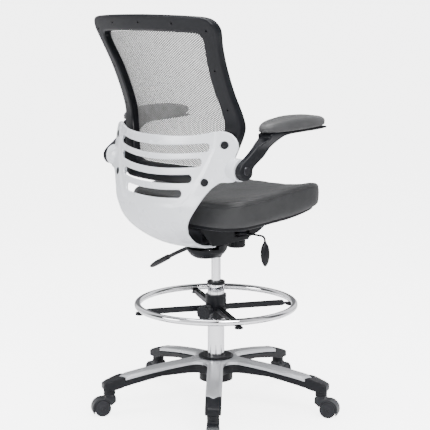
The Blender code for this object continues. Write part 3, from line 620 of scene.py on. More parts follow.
BLACK = moulded("black_nylon", (0.0042, 0.0047, 0.0064), (0.0068, 0.0074, 0.0096), 0.38,
                Specular_IOR_Level=0.22)
FRAME_BLACK = moulded("frame_nylon", (0.004, 0.0045, 0.0062), (0.0062, 0.0068, 0.009), 0.34,
                      Specular_IOR_Level=0.24)
CASTER = moulded("caster_nylon", (0.008, 0.0088, 0.0115), (0.012, 0.013, 0.016), 0.34,
                 Specular_IOR_Level=0.35)
TREAD = moulded("caster_tread", (0.01, 0.0105, 0.013), (0.015, 0.0155, 0.019), 0.55, 900, 0.0002,
                Specular_IOR_Level=0.3)
PEARL = painted("pearl_shell", (0.86, 0.88, 0.91), (0.76, 0.79, 0.84), 0.27, 0.1, 0.6)
SILVER = painted("silver_cover", (0.66, 0.67, 0.69), (0.5, 0.51, 0.54), 0.3, 0.6, 0.4)
CHROME = plated("chrome", (0.86, 0.86, 0.88), 0.045)
STEEL = plated("dark_steel", (0.05, 0.05, 0.055), 0.35)
SEAT_VINYL = vinyl("seat_vinyl", (0.026, 0.0265, 0.0275), (0.032, 0.0325, 0.0338), 0.48)
ARM_VINYL = vinyl("arm_vinyl", (0.046, 0.0465, 0.048), (0.056, 0.0565, 0.058), 0.44)
KNIT = knitted("back_mesh", (0.2, 0.2, 0.197), (0.14, 0.14, 0.137))


# ------------------------------------------------------------------ base

def leg_top(r):
    """Height of the legs' upper face at distance r from the column."""
    beyond = max(r - 0.06, 0.0)
    nose = max(r - COVER_LENGTH, 0.0)
    return 0.152 - 0.09 * beyond - 0.27 * beyond ** 2 - 0.15 * nose


leg_bottom = curve(mm((0, 112), (90, 112), (173, 109), (210, 102), (267, 90), (310, 78.5),
                      (360, 76)))


def star(length, half_width, tip, inset=0.0, marks_count=26):
    """Outline of the five legs; tip is how far the end comes to a point."""
    half = half_width - inset
    bend = LEG_ROOT_RADIUS + inset
    reach = (half + bend) / sin(pi / LEG_COUNT)
    out = []
    for angle in LEG_ANGLES:
        along = Vector((cos(angle), sin(angle)))
        across = Vector((-sin(angle), cos(angle)))
        start = reach * cos(pi / LEG_COUNT)
        marks = np.linspace(start, length - inset - tip, marks_count)
        right = [along * r - across * half for r in marks]
        left = [along * r + across * half for r in marks[::-1]]
        nose = length - inset
        if tip < 0.006:
            end = [along * nose - across * (half - tip), along * nose + across * (half - tip)]
        else:
            end = [along * (nose - tip / 2) - across * half / 2, along * nose,
                   along * (nose - tip / 2) + across * half / 2]
        out += right + end + left
        bisector = angle + pi / LEG_COUNT
        centre = Vector((cos(bisector), sin(bisector))) * reach
        half_turn = pi / 2 - pi / LEG_COUNT
        for t in np.linspace(half_turn, -half_turn, 12)[1:-1]:
            turn = bisector + pi + t
            out.append(centre + Vector((cos(turn), sin(turn))) * bend)
    return [(p.x, p.y) for p in out]


def build_base():
    """Star base, its silver cover and the collar round the column."""
    def top(x, y):
        return leg_top(hypot(x, y))

    def bottom(x, y):
        return leg_bottom(hypot(x, y))

    def bed(x, y):
        return leg_top(hypot(x, y)) - COVER_SKIRT - COVER_PLAY

    def rail(x, y):
        return leg_top(hypot(x, y)) - COVER_WALL - COVER_PLAY

    def belly(x, y):
        return leg_top(hypot(x, y)) - COVER_WALL

    steps = [(star(COVER_LENGTH + 0.0006, LEG_HALF_WIDTH + 0.0006, 0.02), bed, None),
             (star(COVER_LENGTH, LEG_HALF_WIDTH, 0.02, COVER_WALL + GAP), rail, None),
             (circle(0, 0, HUB_RADIUS), None, level(HUB_BOTTOM))]
    for angle in LEG_ANGLES:
        spot = (CASTER_REACH * cos(angle), CASTER_REACH * sin(angle))
        steps.append((circle(*spot, SOCKET_RADIUS, 36), None, level(SOCKET_BOTTOM)))
        steps.append((circle(*spot, 0.0058, 20), None, level(SOCKET_TOP)))
    hole = circle(0, 0, TUBE_RADIUS + GAP, 64)
    body = plate(star(LEG_LENGTH, LEG_HALF_WIDTH, 0.005), top, bottom, holes=[hole], steps=steps,
                 grid=0.01, top_edge=rounded(0.003), bottom_edge=rounded(0.003), hole_edges=False)
    make("base_legs", *body, BLACK, "base", ["base_star"])
    brow = [(0, 0.0036), (0.0006, 0.003), (0.0066, 0.0004), (0.0078, 0)]
    cover = plate(star(COVER_LENGTH, LEG_HALF_WIDTH + 0.0003, 0.02), top,
                  lambda x, y: top(x, y) - COVER_SKIRT, holes=[hole],
                  steps=[(star(COVER_LENGTH, LEG_HALF_WIDTH, 0.02, COVER_WALL), None, belly)],
                  grid=0.01, top_edge=brow, hole_edges=False)
    make("base_top_cover", *cover, SILVER, "base", ["base_cover"], "silver_cover", 22)
    ring = soft_section([(TUBE_RADIUS + GAP, 0), (0.0525, 0), (0.0525, 0.0035), (0.046, 0.0062),
                         (0.03, 0.0066), (TUBE_RADIUS + GAP, 0.0058)], 0.0012)
    make("base_collar", *turned(ring, (0, 0, 0.1523), hollow=True), BLACK, "base", ["hub_collar"])


def build_casters():
    """Hooded twin-wheel casters."""
    top = SOCKET_BOTTOM - 0.0006
    axle = Vector((CASTER_REACH + CASTER_TRAIL, 0, WHEEL_RADIUS))
    arc = [(axle.x + HOOD_RADIUS * cos(radians(t)), axle.z + HOOD_RADIUS * sin(radians(t)))
           for t in np.linspace(-30, 98, 44)]
    right = [p for p in arc if p[1] < top]
    block = [(CASTER_REACH + 0.0148, axle.z + HOOD_RADIUS + 0.0012),
             (CASTER_REACH + 0.0135, axle.z + HOOD_RADIUS + 0.003), (CASTER_REACH + 0.013, top),
             (CASTER_REACH - 0.013, top), (CASTER_REACH - 0.015, top - 0.0025),
             (CASTER_REACH - 0.0165, top - 0.008), (CASTER_REACH - 0.0165, 0.042)]
    web = circle(axle.x, axle.z, 0.018, 40)
    under = [p for p in web if p[1] < axle.z + 0.006 and not (p[0] > axle.x and p[1] > 0.015)]
    under.sort(key=lambda p: p[0])
    side_view = right + block + under
    cup = circle(axle.x, axle.z, WHEEL_RADIUS + 0.0015, 64)
    stub = circle(axle.x, axle.z, AXLE_RADIUS, 28)
    wheel = soft_section([(AXLE_RADIUS + 0.0001, 0.0002), (0.0226, 0.0002), (WHEEL_RADIUS, 0.002),
                          (WHEEL_RADIUS, 0.0108), (0.0228, 0.0129), (0.0204, 0.0131),
                          (0.0196, 0.0119), (0.01, 0.0119), (0.008, 0.0131),
                          (AXLE_RADIUS + 0.0001, 0.0131)], 0.0006, 2)
    for k, angle in enumerate(LEG_ANGLES):
        label = f"caster_{k + 1}"
        turn = Matrix.Rotation(angle, 3, "Z")

        def stand(a, b, n, turn=turn):
            return turn @ Vector((a, n, b))

        hood = plate(side_view, level(0.0175), level(-0.0175), grid=0.006,
                     steps=[(cup, level(0.005), level(-0.005)),
                            (stub, level(0.016), level(-0.016))],
                     place=stand, top_edge=rounded(0.0022, 3), bottom_edge=rounded(0.0022, 3))
        make(f"{label}_hood", *hood, CASTER, label, [f"{label}_body"], "caster_nylon")
        stem = turn @ Vector((CASTER_REACH, 0, 0))
        pin = soft_profile(mm((5.5, 0), (5.5, 26), (4, 28.5)), 0.0006)
        rod = turned(pin, (stem.x, stem.y, SOCKET_BOTTOM - 0.0002), segments=32)
        make(f"{label}_pin", *rod, STEEL, label, [f"{label}_stem"], "dark_steel")
        for sign, side in SIDES:
            centre = turn @ Vector((axle.x, sign * 0.0055, axle.z))
            outward = turn @ Vector((0, sign, 0))
            make(f"{label}_twin_{side}", *turned(wheel, centre, outward, 64, hollow=True), TREAD,
                 f"{label}_wheels", [f"{label}_wheel_{side}"], "caster_nylon", 50)


# ----------------------------------------------------- column, foot ring

def build_column():
    """Chrome column, its bushing and the gas piston."""
    tube = soft_section([(0.0005, 0.099), (TUBE_RADIUS, 0.099), (TUBE_RADIUS, TUBE_TOP),
                         (0.0215, TUBE_TOP), (0.0215, 0.103), (0.0005, 0.103)], 0.001)
    make("column_outer", *turned(tube, segments=96, hollow=True), CHROME, "base",
         ["column_tube"], "chrome")
    bush = soft_section([(PISTON_RADIUS + GAP, 0.345), (0.0212, 0.345),
                         (0.0212, TUBE_TOP + GAP), (0.0268, TUBE_TOP + GAP), (0.0272, 0.38),
                         (0.0262, 0.3838), (PISTON_RADIUS + GAP, 0.3838)], 0.0012)
    make("column_guide", *turned(bush, segments=80, hollow=True), BLACK, "base",
         ["column_bushing"])
    rod = soft_profile([(0.012, PISTON_LOW), (PISTON_RADIUS, PISTON_LOW + 0.003),
                        (PISTON_RADIUS, PISTON_HIGH - 0.003), (0.0128, PISTON_HIGH)], 0.001)
    make("lift_rod", *turned(rod, segments=72), CHROME, "gas_piston", ["gas_piston"], "chrome")


def build_foot_ring():
    """Chrome ring, its spider with ribbed arms, and the clamp knob."""
    section = [(RING_RADIUS + RING_TUBE * cos(t), RING_TUBE * sin(t))
               for t in np.linspace(0, 2 * pi, 28, endpoint=False)]
    rings = []
    for t in np.linspace(0, 2 * pi, 160, endpoint=False):
        rings.append([(r * cos(t), r * sin(t), RING_HEIGHT + z) for r, z in section])
    make("ring_tube", *loft(rings, closed=True), CHROME, "foot_ring", ["foot_ring"], "chrome")
    outline = []
    grooves = []
    for angle in SPOKE_ANGLES:
        along = Vector((cos(angle), sin(angle)))
        across = Vector((-sin(angle), cos(angle)))
        side = [(0.031, 0.011), (0.045, 0.01)]
        side += [(r, 0.0095) for r in np.linspace(0.06, 0.19, 14)]
        side += mm((205, 8.5), (225, 8.2), (241, 8), (244, 5))
        outline += [tuple(along * r - across * h) for r, h in side]
        outline += [tuple(along * r + across * h) for r, h in reversed(side)]
        for t in np.linspace(radians(25), radians(65), 7):
            outline.append((0.0329 * cos(angle + t), 0.0329 * sin(angle + t)))
        for shift in (-0.0045, 0.0045):
            line = [(0.04, shift - 0.0026), (0.198, shift - 0.0026), (0.198, shift + 0.0026),
                    (0.04, shift + 0.0026)]
            grooves.append([tuple(along * r + across * h) for r, h in line])
    steps = [(circle(0, 0, 0.211, 120), level(0.31), level(0.2955))]
    steps += [(groove, level(0.3062), level(0.2993)) for groove in grooves]
    steps.append((circle(0, 0, 0.0309, 60), level(0.344), level(0.272)))
    spider = plate(outline, level(0.3034), level(0.2982), steps=steps,
                   holes=[circle(0, 0, TUBE_RADIUS + 0.0005, 64)], grid=0.02,
                   top_edge=rounded(0.0012, 2), bottom_edge=rounded(0.0012, 2), hole_edges=False)
    make("ring_spider", *spider, BLACK, "foot_ring", ["foot_ring_spider"])
    for k, angle in enumerate(SPOKE_ANGLES):
        head = soft_profile(mm((6, 0), (11.2, 0.4), (12.5, 1.6), (12.5, 4.2)), 0.0008)
        spot = (RING_RADIUS * cos(angle), RING_RADIUS * sin(angle), 0.2937)
        make(f"ring_foot_{k + 1}", *turned(head, spot, segments=40), BLACK, "foot_ring",
             [f"ring_screw_{k + 1}"])
    out = Vector((cos(CLAMP_ANGLE), sin(CLAMP_ANGLE), 0))
    grip = soft_profile(mm((6, -17), (6, -0.2), (15, 0), (21.5, 2.5), (22.8, 6), (22.8, 26),
                           (20.5, 30), (12, 31), (11, 29.6), (2, 29.6)), 0.0015)
    knob = turned(grip, out * 0.05 + Vector((0, 0, CLAMP_HEIGHT)), out, 96, lobes=12, depth=0.0016)
    make("ring_knob", *knob, BLACK, "clamp_knob", ["clamp_knob"])


# -------------------------------------------------------------- mechanism

def bowl(x, y):
    """Underside of the cover below the mechanism."""
    return 0.458 + 0.03 * hypot(x / 0.056, (y - COVER_MIDDLE) / 0.0665) ** 4


def bowl_rim(x, y):
    """Upper edge of that cover, lower where the shell's tail lies on it."""
    return 0.4985 if y < 0.04 else 0.489


def build_mechanism():
    """Tilt mechanism, its cover, knob and levers."""
    side = mm((-105, 508), (-100, 499.5), (-18, 499.5), (-10, 478.5), (28, 478.5), (34, 486),
              (36, 500), (30, 518), (-40, 534), (-90, 534), (-104, 524))
    throat = mm((-30, 470), (50, 470), (50, 499.2), (-30, 499.2))
    block = plate(side, level(0.04), level(-0.04),
                  holes=[circle(*TILT, AXLE_HOLE, 32)], grid=0.02, hole_edges=False,
                  steps=[(throat, level(0.022), level(-0.022))],
                  place=lambda y, z, x: (x, y, z),
                  top_edge=rounded(0.003), bottom_edge=rounded(0.003))
    make("tilt_housing", *block, STEEL, "mechanism", ["mechanism_housing"], "dark_steel")
    socket = soft_section([(PISTON_RADIUS + GAP, 0.4555), (0.0165, 0.4555), (0.018, 0.459),
                           (0.018, 0.4782), (PISTON_RADIUS + GAP, 0.4782)], 0.001)
    make("tilt_socket", *turned(socket, hollow=True), BLACK, "mechanism", ["cone_socket"])
    knob = soft_profile(mm((3, 476), (12, 475.8), (15, 473.7), (25.5, 474.2), (27.6, 477.5),
                           (27.6, 494.5), (26.2, 496.3), (6, 496.6), (6, 499.2)), 0.001)
    make("tilt_tension_knob", *turned(knob, (0, TENSION_Y, 0), segments=120, lobes=20, depth=0.001),
         BLACK, "tension_knob", ["tension_knob"])
    half = smooth(mm((0, -26), (20, -24.5), (37, -10), (48, 13), (51, 40), (47, 70), (34, 90),
                     (0, 99)), 0.003)
    line = mirrored(half)
    inside_line = [(x * 0.94, COVER_MIDDLE + (y - COVER_MIDDLE) * 0.95) for x, y in line]
    notch = mm((26, -22), (56, -22), (56, 7), (26, 7))
    floor = lambda x, y: bowl(x, y) + 0.003
    cover = plate(line, bowl_rim, bowl, holes=[circle(0, 0.008, 0.03, 60)], grid=0.005,
                  steps=[(inside_line, floor, None), (notch, floor, None)],
                  top_edge=rounded(0.0008, 2), bottom_edge=rounded(0.0015, 3))
    make("tilt_cover", *cover, BLACK, "seat_unit", ["mechanism_cover"])
    stops = mm((-40.6, 524, 3, 3), (-46, 524, 3, 3), (-62, 530, 3, 3), (-85, 534.5, 3, 3),
               (-150, 535, 3, 3), (-163, 534, 3, 3), (-169.5, 529, 3, 3), (-171, 522, 3.2, 3.2),
               (-171.2, 517, 5, 4.2), (-171.3, 513, 8, 6), (-171.5, 505, 12.8, 8.2),
               (-172, 492, 16.2, 9.4), (-172.5, 478, 16.5, 9.4), (-173, 463, 13.2, 7.8),
               (-173.2, 453, 8, 5.2), (-173.3, 447.5, 3, 2.4))
    lift = [(x, -0.028, z, wide, deep) for x, z, wide, deep in stops]
    make("lift_lever", *fine_sweep(lift, 0.002), BLACK, "height_lever", ["height_lever"])
    lock = mm((40.6, -7, 495.5, 4.5, 4.5), (50, -7.5, 492.5, 4.5, 4.5), (62.5, -9, 485, 4.5, 4.5),
              (85, -12, 477.5, 5.2, 4.8), (115, -16, 469, 6.8, 5.4), (155, -20, 454.5, 8.5, 6),
              (200, -20, 434, 8.5, 6), (226, -21, 421.5, 8.5, 6), (230, -21, 419.5, 10.4, 8.2),
              (238, -21.5, 416, 11, 8.3), (256, -23, 407, 12.6, 8.4), (280, -25, 395.5, 14, 8.4),
              (300, -27, 385, 13, 7.4), (313, -27.8, 377.8, 9.6, 5.6),
              (318, -28.1, 375.2, 3.5, 2.2))
    make("tilt_lock_lever", *fine_sweep(lock, 0.003), BLACK, "lock_lever", ["lock_lever"])
    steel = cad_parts
    for node in ("seat_bracket", "tilt_axle", "arm_pin_left", "arm_pin_right"):
        steel[node].data.materials.clear()
        steel[node].data.materials.append(STEEL)


# ------------------------------------------------------------------- seat

base_rise = curve(mm((-245, 620), (-200, 614.5), (-165, 609.5), (-118, 601.5), (-67, 595.8),
                     (0, 591.5), (44, 588), (100, 584), (155, 580.8), (170, 580)))
side_rise = curve(mm((-245, 673), (-200, 684), (-160, 688), (-118, 686), (-60, 679.5), (44, 667),
                     (155, 658), (170, 657)))
middle_rise = curve(mm((-245, 652), (-200, 660), (-150, 661), (-80, 656), (0, 650), (100, 648),
                       (170, 652)))


def seat_base(x, y):
    """Height of the cushion's underside, which rises towards the front edge."""
    return base_rise(y)


def seat_top(x, y):
    """Height of the sitting surface, dished between its raised sides."""
    across = min(abs(x) / SEAT_HALF_WIDTH, 1.0)
    return middle_rise(y) + (side_rise(y) - middle_rise(y)) * across ** 2.2


def seat_line(step):
    """Plan of the seat."""
    half = smooth([(0, SEAT_FRONT), (0.08, SEAT_FRONT + 0.002), (0.15, SEAT_FRONT + 0.01),
                   (0.203, SEAT_FRONT + 0.024), (0.229, SEAT_FRONT + 0.056),
                   (SEAT_HALF_WIDTH, -0.11), (SEAT_HALF_WIDTH, -0.02), (0.232, 0.08),
                   (0.218, 0.128), (0.18, 0.158), (0.11, 0.168), (0, SEAT_REAR)], step)
    return mirrored(half)


def drawn_in(loop, share):
    """The seat's plan pulled towards its middle."""
    return [(x * share, SEAT_MIDDLE[1] + (y - SEAT_MIDDLE[1]) * share) for x, y in loop]


def pan_under(x, y):
    """Underside of the seat pan."""
    return seat_base(x, y) - 0.0115


skirt_drop = curve(mm((-172, 556), (-166, 549.7), (-117, 523.6), (-61, 508), (20, 502.5),
                      (75, 505), (83, 511), (118, 560)))


def build_seat():
    """Seat pan, the skirt under it and the upholstered cushion."""
    line = seat_line(0.006)
    well = mm((-48, -124), (48, -124), (48, 93), (-48, 93))
    spacer = mm((-52, -128), (52, -128), (52, 97), (-52, 97))
    pan = plate(drawn_in(line, 0.935), lambda x, y: seat_base(x, y) - SEAT_PLAY, pan_under,
                grid=0.008, hole_edges=False, bottom_edge=rounded(0.004),
                steps=[(spacer, None, level(0.553)), (well, level(0.557), None)])
    make("seat_shell", *pan, BLACK, "seat_unit", ["seat_pan"])
    half = smooth(mm((0, -172), (44, -170), (57.5, -160), (62.5, -140), (62.5, -117), (62.5, -90),
                     (62.5, -61), (62.5, -20), (62.5, 20), (62.5, 50), (62.5, 75), (62, 83),
                     (60, 100), (54, 112), (42, 117.5), (0, 118)), 0.005)
    skirt = mirrored(half)
    inside_line = [(x * 0.945, -0.027 + (y + 0.027) * 0.976) for x, y in skirt]
    window = mm((-66, -78), (66, -78), (66, -14), (-66, -14))
    wall = plate(skirt, lambda x, y: pan_under(x, y) - SEAT_PLAY, lambda x, y: skirt_drop(y),
                 holes=[inside_line], steps=[(window, level(0.5185), None)], grid=0.01,
                 bottom_edge=rounded(0.001, 2), hole_edges=False)
    make("tilt_skirt", *wall, BLACK, "seat_unit", ["mechanism_skirt"])

    def up(rise):
        return lambda x, y: seat_base(x, y) + rise

    def under_top(fall):
        return lambda x, y: seat_top(x, y) - fall

    layers = [(share, seat_base) for share in (0.9, 0.7, 0.5, 0.3, 0.15, 0.055)]
    layers += [(0.022, up(0.001)), (0.01, up(0.005)), (0.003, up(0.012)),
               (0.0005, up(0.022)), (0.0, up(0.034)), (0.0, under_top(0.03)),
               (0.0015, under_top(0.02)), (0.004, under_top(0.0168)),
               (0.0085, under_top(0.0158)), (0.0085, under_top(0.015)),
               (0.005, under_top(0.014)), (0.007, under_top(0.0105)),
               (0.015, under_top(0.0062)), (0.03, under_top(0.003)),
               (0.055, under_top(0.001))]
    layers += [(share, seat_top) for share in (0.09, 0.14, 0.2, 0.28, 0.38, 0.5, 0.64, 0.8, 0.92)]
    cushion = make("seat_pad", *pillow(line, SEAT_MIDDLE, layers), SEAT_VINYL, "seat_unit",
                   ["seat_cushion"], "seat_vinyl")
    pucker(cushion, seat_base, (0.075, 0.0026), (0.03, 0.001), (0.013, 0.0004))


# ------------------------------------------------------------------ shell

spine = smooth(mm((250, 866), (256, 800), (260.5, 740), (266, 675), (267, 625), (261, 592),
                  (244, 563), (215, 536.5), (178, 518), (140, 507), (100, 498.5), (45, 492.5),
                  (30, 492)), 0.004)
spine_y = np.array([p[0] for p in spine])
spine_z = np.array([p[1] for p in spine])
spine_run = np.concatenate([[0], np.cumsum(np.hypot(np.diff(spine_y), np.diff(spine_z)))])
bend_radius = curve(mm((0, 350), (50, 360), (150, 430), (190, 500), (220, 600), (260, 600),
                       (290, 500), (320, 420), (350, 360), (450, 400)))


def run_at(z):
    """Distance down the spine where it passes height z on the upright part."""
    upright_part = spine_z > 0.53
    return float(np.interp(-z, -spine_z[upright_part], spine_run[upright_part]))


def run_at_y(y):
    """Distance down the spine where it passes y on the lower part."""
    lower = spine_run > run_at(0.56)
    return float(np.interp(-y, -spine_y[lower], spine_run[lower]))


def shell_point(u, run, depth):
    """Point on the shell: u across, run down the spine, depth in from the rear face."""
    y = np.interp(run, spine_run, spine_y)
    z = np.interp(run, spine_run, spine_z)
    y1 = np.interp(run + 0.004, spine_run, spine_y) - np.interp(run - 0.004, spine_run, spine_y)
    z1 = np.interp(run + 0.004, spine_run, spine_z) - np.interp(run - 0.004, spine_run, spine_z)
    size = hypot(y1, z1)
    inward = (z1 / size, -y1 / size)
    radius = bend_radius(run)
    rise = u * u / (2 * radius)
    slope = u / radius
    tilt = hypot(1, slope)
    across = -slope / tilt * depth
    inn = rise + depth / tilt
    return Vector((u + across, y + inward[0] * inn, z + inward[1] * inn))


def drop(points):
    """Turn (across, height) pairs into (across, run) pairs."""
    return [(u, run_at(z)) for u, z in points]


def slot(reach, end_z, droop):
    """Slot across the shell: half length, height of its ends and drop at the middle."""
    half = 0.0112
    line = [(u, end_z - droop * (1 - (u / reach) ** 2)) for u in np.linspace(-reach, reach, 61)]
    line = [p for p in line if abs(p[0]) < reach - 0.009]
    upper = [(u, z + half) for u, z in line]
    lower = [(u, z - half) for u, z in line]
    right = [(reach - half + half * cos(t), end_z - 0.0012 + half * sin(t))
             for t in np.linspace(1.3, -1.3, 11)]
    left = [(-x, z) for x, z in reversed(right)]
    return drop(upper + right + lower[::-1] + left)


def build_shell():
    """Slotted lumbar shell with its arm bosses and bolts."""
    edge = drop(mm((0, 839), (80, 841), (140, 847), (180, 857), (208, 863), (234, 856),
                   (249, 836), (252, 815), (248, 798), (250, 788), (257.5, 779), (259, 755),
                   (257.5, 734), (245, 726.5), (221, 723.5), (207, 713), (195.5, 700),
                   (182.4, 680), (166.2, 650), (148, 620), (137.5, 600), (128, 580), (118, 560),
                   (110, 548)))
    edge += [(0.101, run_at_y(0.205)), (0.092, run_at_y(0.183)), (0.074, run_at_y(0.145)),
             (0.057, run_at_y(0.105)), (0.05, run_at_y(0.072)), (0.0475, run_at_y(0.0465))]
    end = run_at_y(0.0465)
    half = smooth(edge, 0.0045) + [(0.036, end), (0.024, end), (0.012, end), (0, end)]
    slots = [slot(0.182, 0.8165, 0.017), slot(0.165, 0.7735, 0.014), slot(0.141, 0.7275, 0.01),
             slot(0.114, 0.6835, 0.007)]
    panel = drop(mm((0, 862), (199, 862), (197, 812), (183, 766), (160, 714), (138, 672),
                    (122, 655), (92, 644), (0, 640)))
    panel = mirrored(panel)
    bolts = [(sign * u, run_at(z), label, row) for u, z, row in
             (UPPER_BOLT + ("upper",), LOWER_BOLT + ("lower",)) for sign, label in SIDES]
    boss_depth = {"upper": 0.0195, "lower": 0.0235}

    def rear(u, run):
        """Relief on the rear face: the slotted panel lies a little deeper than its border."""
        spot = np.array([(u, run)])
        reach = float(near(panel, spot)[0])
        if not within(panel, spot)[0]:
            return 0.0
        return 0.0024 * ease(reach / 0.005)

    steps = []
    for u, run, label, row in bolts:
        depth = boss_depth[row]
        steps.append((circle(u, run, 0.014, 28), level(depth), None))
        steps.append((circle(u, run, 0.0114, 28), None, level(0.0048)))
    holes = slots + [circle(u, run, 0.0052, 16) for u, run, label, row in bolts]
    body = plate(mirrored(half), lambda u, run: SHELL_WALL, rear, holes=holes, steps=steps,
                 grid=0.0055, place=shell_point, top_edge=rounded(0.0028, 3),
                 bottom_edge=rounded(0.004, 4))
    make("back_moulding", *body, PEARL, "seat_unit", ["back_shell"], "pearl_shell", 45)
    for sign, label in SIDES:
        boss = soft_section(mm((6.6, 243), (18, 243), (27, 225), (31, 235), (31, 262.5),
                               (6.6, 262.5)), 0.002)
        make(f"arm_boss_{label}", *turned(boss, (0, ARM_PIVOT[1], ARM_PIVOT[2]), (sign, 0, 0),
                                          72, hollow=True), PEARL, "seat_unit", [], "pearl_shell")
    for u, run, label, row in bolts:
        seat = shell_point(u, run, -0.0012)
        inner = shell_point(u, run, 0.02)
        cap = soft_profile([(0.003, 0.0012), (0.0044, 0.0008), (0.0052, 0.0), (0.0092, 0.0003),
                            (0.0104, 0.0014), (0.0104, 0.0046), (0.004, 0.0046),
                            (0.004, boss_depth[row])], 0.0006)
        make(f"back_cap_{row}_{label}", *turned(cap, seat, (inner - seat).normalized(), 48),
             BLACK, "seat_unit", [f"back_bolt_{row}_{label}"])


# ----------------------------------------------------- back frame, mesh

frame_edge = curve(mm((690, 148), (740, 139), (775, 130.5), (820, 119.5), (850, 114.5),
                      (880, 115), (908, 122.5), (959, 143.5), (1022, 171), (1080, 200),
                      (1131, 224), (1175, 242)))
frame_marks = np.linspace(0.69, 1.175, 98)
frame_raw = np.array([frame_edge(z) for z in frame_marks])
frame_soft = np.convolve(np.pad(frame_raw, 4, mode="edge"), np.ones(9) / 9, mode="valid")


def frame_point(x, z, depth):
    """Point on the back frame: depth is measured back from its front face."""
    y = float(np.interp(z, frame_marks, frame_soft)) + 0.04 * (1 - (x / 0.235) ** 2)
    return (x, y + depth, z)


def build_back():
    """Black back frame and the knitted mesh stretched across it."""
    side = mm((0, 700), (120, 700.5), (170, 704), (195, 720), (206, 745), (214, 775), (226, 820),
              (233, 850), (234, 870), (228.5, 908), (223, 959), (224, 1022), (232.5, 1080),
              (242, 1118), (242.5, 1135), (233, 1152), (212, 1161), (160, 1165), (80, 1167.5),
              (0, 1168.5))
    inner = mm((0, 750), (90, 750), (129, 753), (150, 766), (163, 790), (179, 830), (188, 860),
               (186.5, 900), (182, 959), (184, 1022), (193, 1070), (198.5, 1098), (193, 1113),
               (174, 1119), (80, 1122.5), (0, 1123.5))
    window = mirrored(smooth(inner, 0.006))
    screws = []
    for x, z in ((0, 1.146), (0.219, 1.125), (0.2045, 1.018), (0.208, 0.911), (0.12, 1.144)):
        for sign in ((1, -1) if x else (1,)):
            screws.append((circle(sign * x, z, 0.0028, 14), level(FRAME_DEPTH - 0.006), None))
    body = plate(mirrored(smooth(side, 0.006)), level(FRAME_DEPTH), level(0.0),
                 holes=[window], steps=screws, grid=0.009, place=frame_point,
                 top_edge=rounded(0.007, 5), bottom_edge=rounded(0.005, 4))
    make("back_surround", *body, FRAME_BLACK, "seat_unit", ["back_frame"])
    line = [(x * 0.997, WINDOW_MIDDLE + (z - WINDOW_MIDDLE) * 0.998) for x, z in window]
    cloth = make("back_net", *plate(line, level(0.005), level(0.0036), grid=0.01,
                                    place=frame_point), KNIT, "seat_unit", ["back_mesh"],
                 "back_mesh")


# ------------------------------------------------------------------- arms

def pad_under(x, y):
    """Underside of an arm pad, a little higher towards its front."""
    return 0.8545 - 0.036 * (y + 0.02)


def pad_crown(y):
    """Height of a pad's crest, falling away gently towards both ends."""
    return 0.8907 - 0.55 * (y + 0.045) ** 2


def pad_skin(share):
    """Height between a pad's underside and its crest."""
    return lambda x, y: pad_under(x, y) + share * (pad_crown(y) - pad_under(x, y))


def spread(y, z):
    """Share of the arm's full width, which grows from the pivot to the pad."""
    return ease((z - 0.805) / 0.042)


def build_arms():
    """Arm links and their padded rests."""
    side_view = smooth(mm((191.5, 760), (185, 770), (170, 781), (156.5, 789.5), (135, 806),
                          (113.3, 823), (95, 835), (85, 849), (0, 853), (-60, 855.2),
                          (-125, 857.2), (-138, 855), (-138, 851.2), (-96.6, 847.5), (-30, 845),
                          (20, 842), (46.5, 834), (70, 812), (98, 785.7), (129, 766), (141, 754),
                          (142.5, 740), (153, 729), (167, 725.5), (181, 729), (191, 741),
                          (193, 752)), 0.004, closed=True)
    rim = []
    for k in range(110):
        t = 2 * pi * (k + 0.5) / 110
        wide = 0.041 * abs(cos(t)) ** (2 / 2.25)
        long = 0.1275 * abs(sin(t)) ** (2 / 2.25)
        rim.append((wide if cos(t) > 0 else -wide, (long if sin(t) > 0 else -long) + PAD_MIDDLE))
    skins = [(0.85, 0.0), (0.6, 0.0), (0.35, 0.0), (0.12, 0.0), (0.06, 0.02), (0.025, 0.07),
             (0.01, 0.14), (0.002, 0.24), (0.01, 0.3), (0.01, 0.325), (0.0, 0.38),
             (0.004, 0.48), (0.018, 0.6), (0.045, 0.71), (0.085, 0.8), (0.14, 0.87),
             (0.21, 0.92), (0.3, 0.955), (0.42, 0.98), (0.58, 0.992), (0.78, 1.0)]
    layers = [(share, pad_skin(rise)) for share, rise in skins]
    for sign, label in SIDES:
        link = plate(side_view, lambda y, z: ARM_OUTER + 0.022 * spread(y, z),
                     lambda y, z: ARM_INNER - 0.01 * spread(y, z),
                     holes=[circle(*ARM_PIVOT[1:], AXLE_HOLE, 32)], grid=0.006,
                     place=lambda y, z, x, sign=sign: (sign * x, y, z),
                     top_edge=rounded(0.004), bottom_edge=rounded(0.004), hole_edges=False)
        make(f"arm_bracket_{label}", *link, BLACK, f"arm_{label}", [f"arm_link_{label}"])
        line = [(sign * PAD_OUT + x, y) for x, y in rim]
        rest = pillow(line, (sign * PAD_OUT, PAD_MIDDLE), layers)
        pad = make(f"arm_rest_{label}", *rest, ARM_VINYL, f"arm_{label}", [f"arm_pad_{label}"],
                   "arm_vinyl")
        pucker(pad, pad_under, (0.05, 0.0012), (0.02, 0.0005))


# ------------------------------------------------------------------ stage

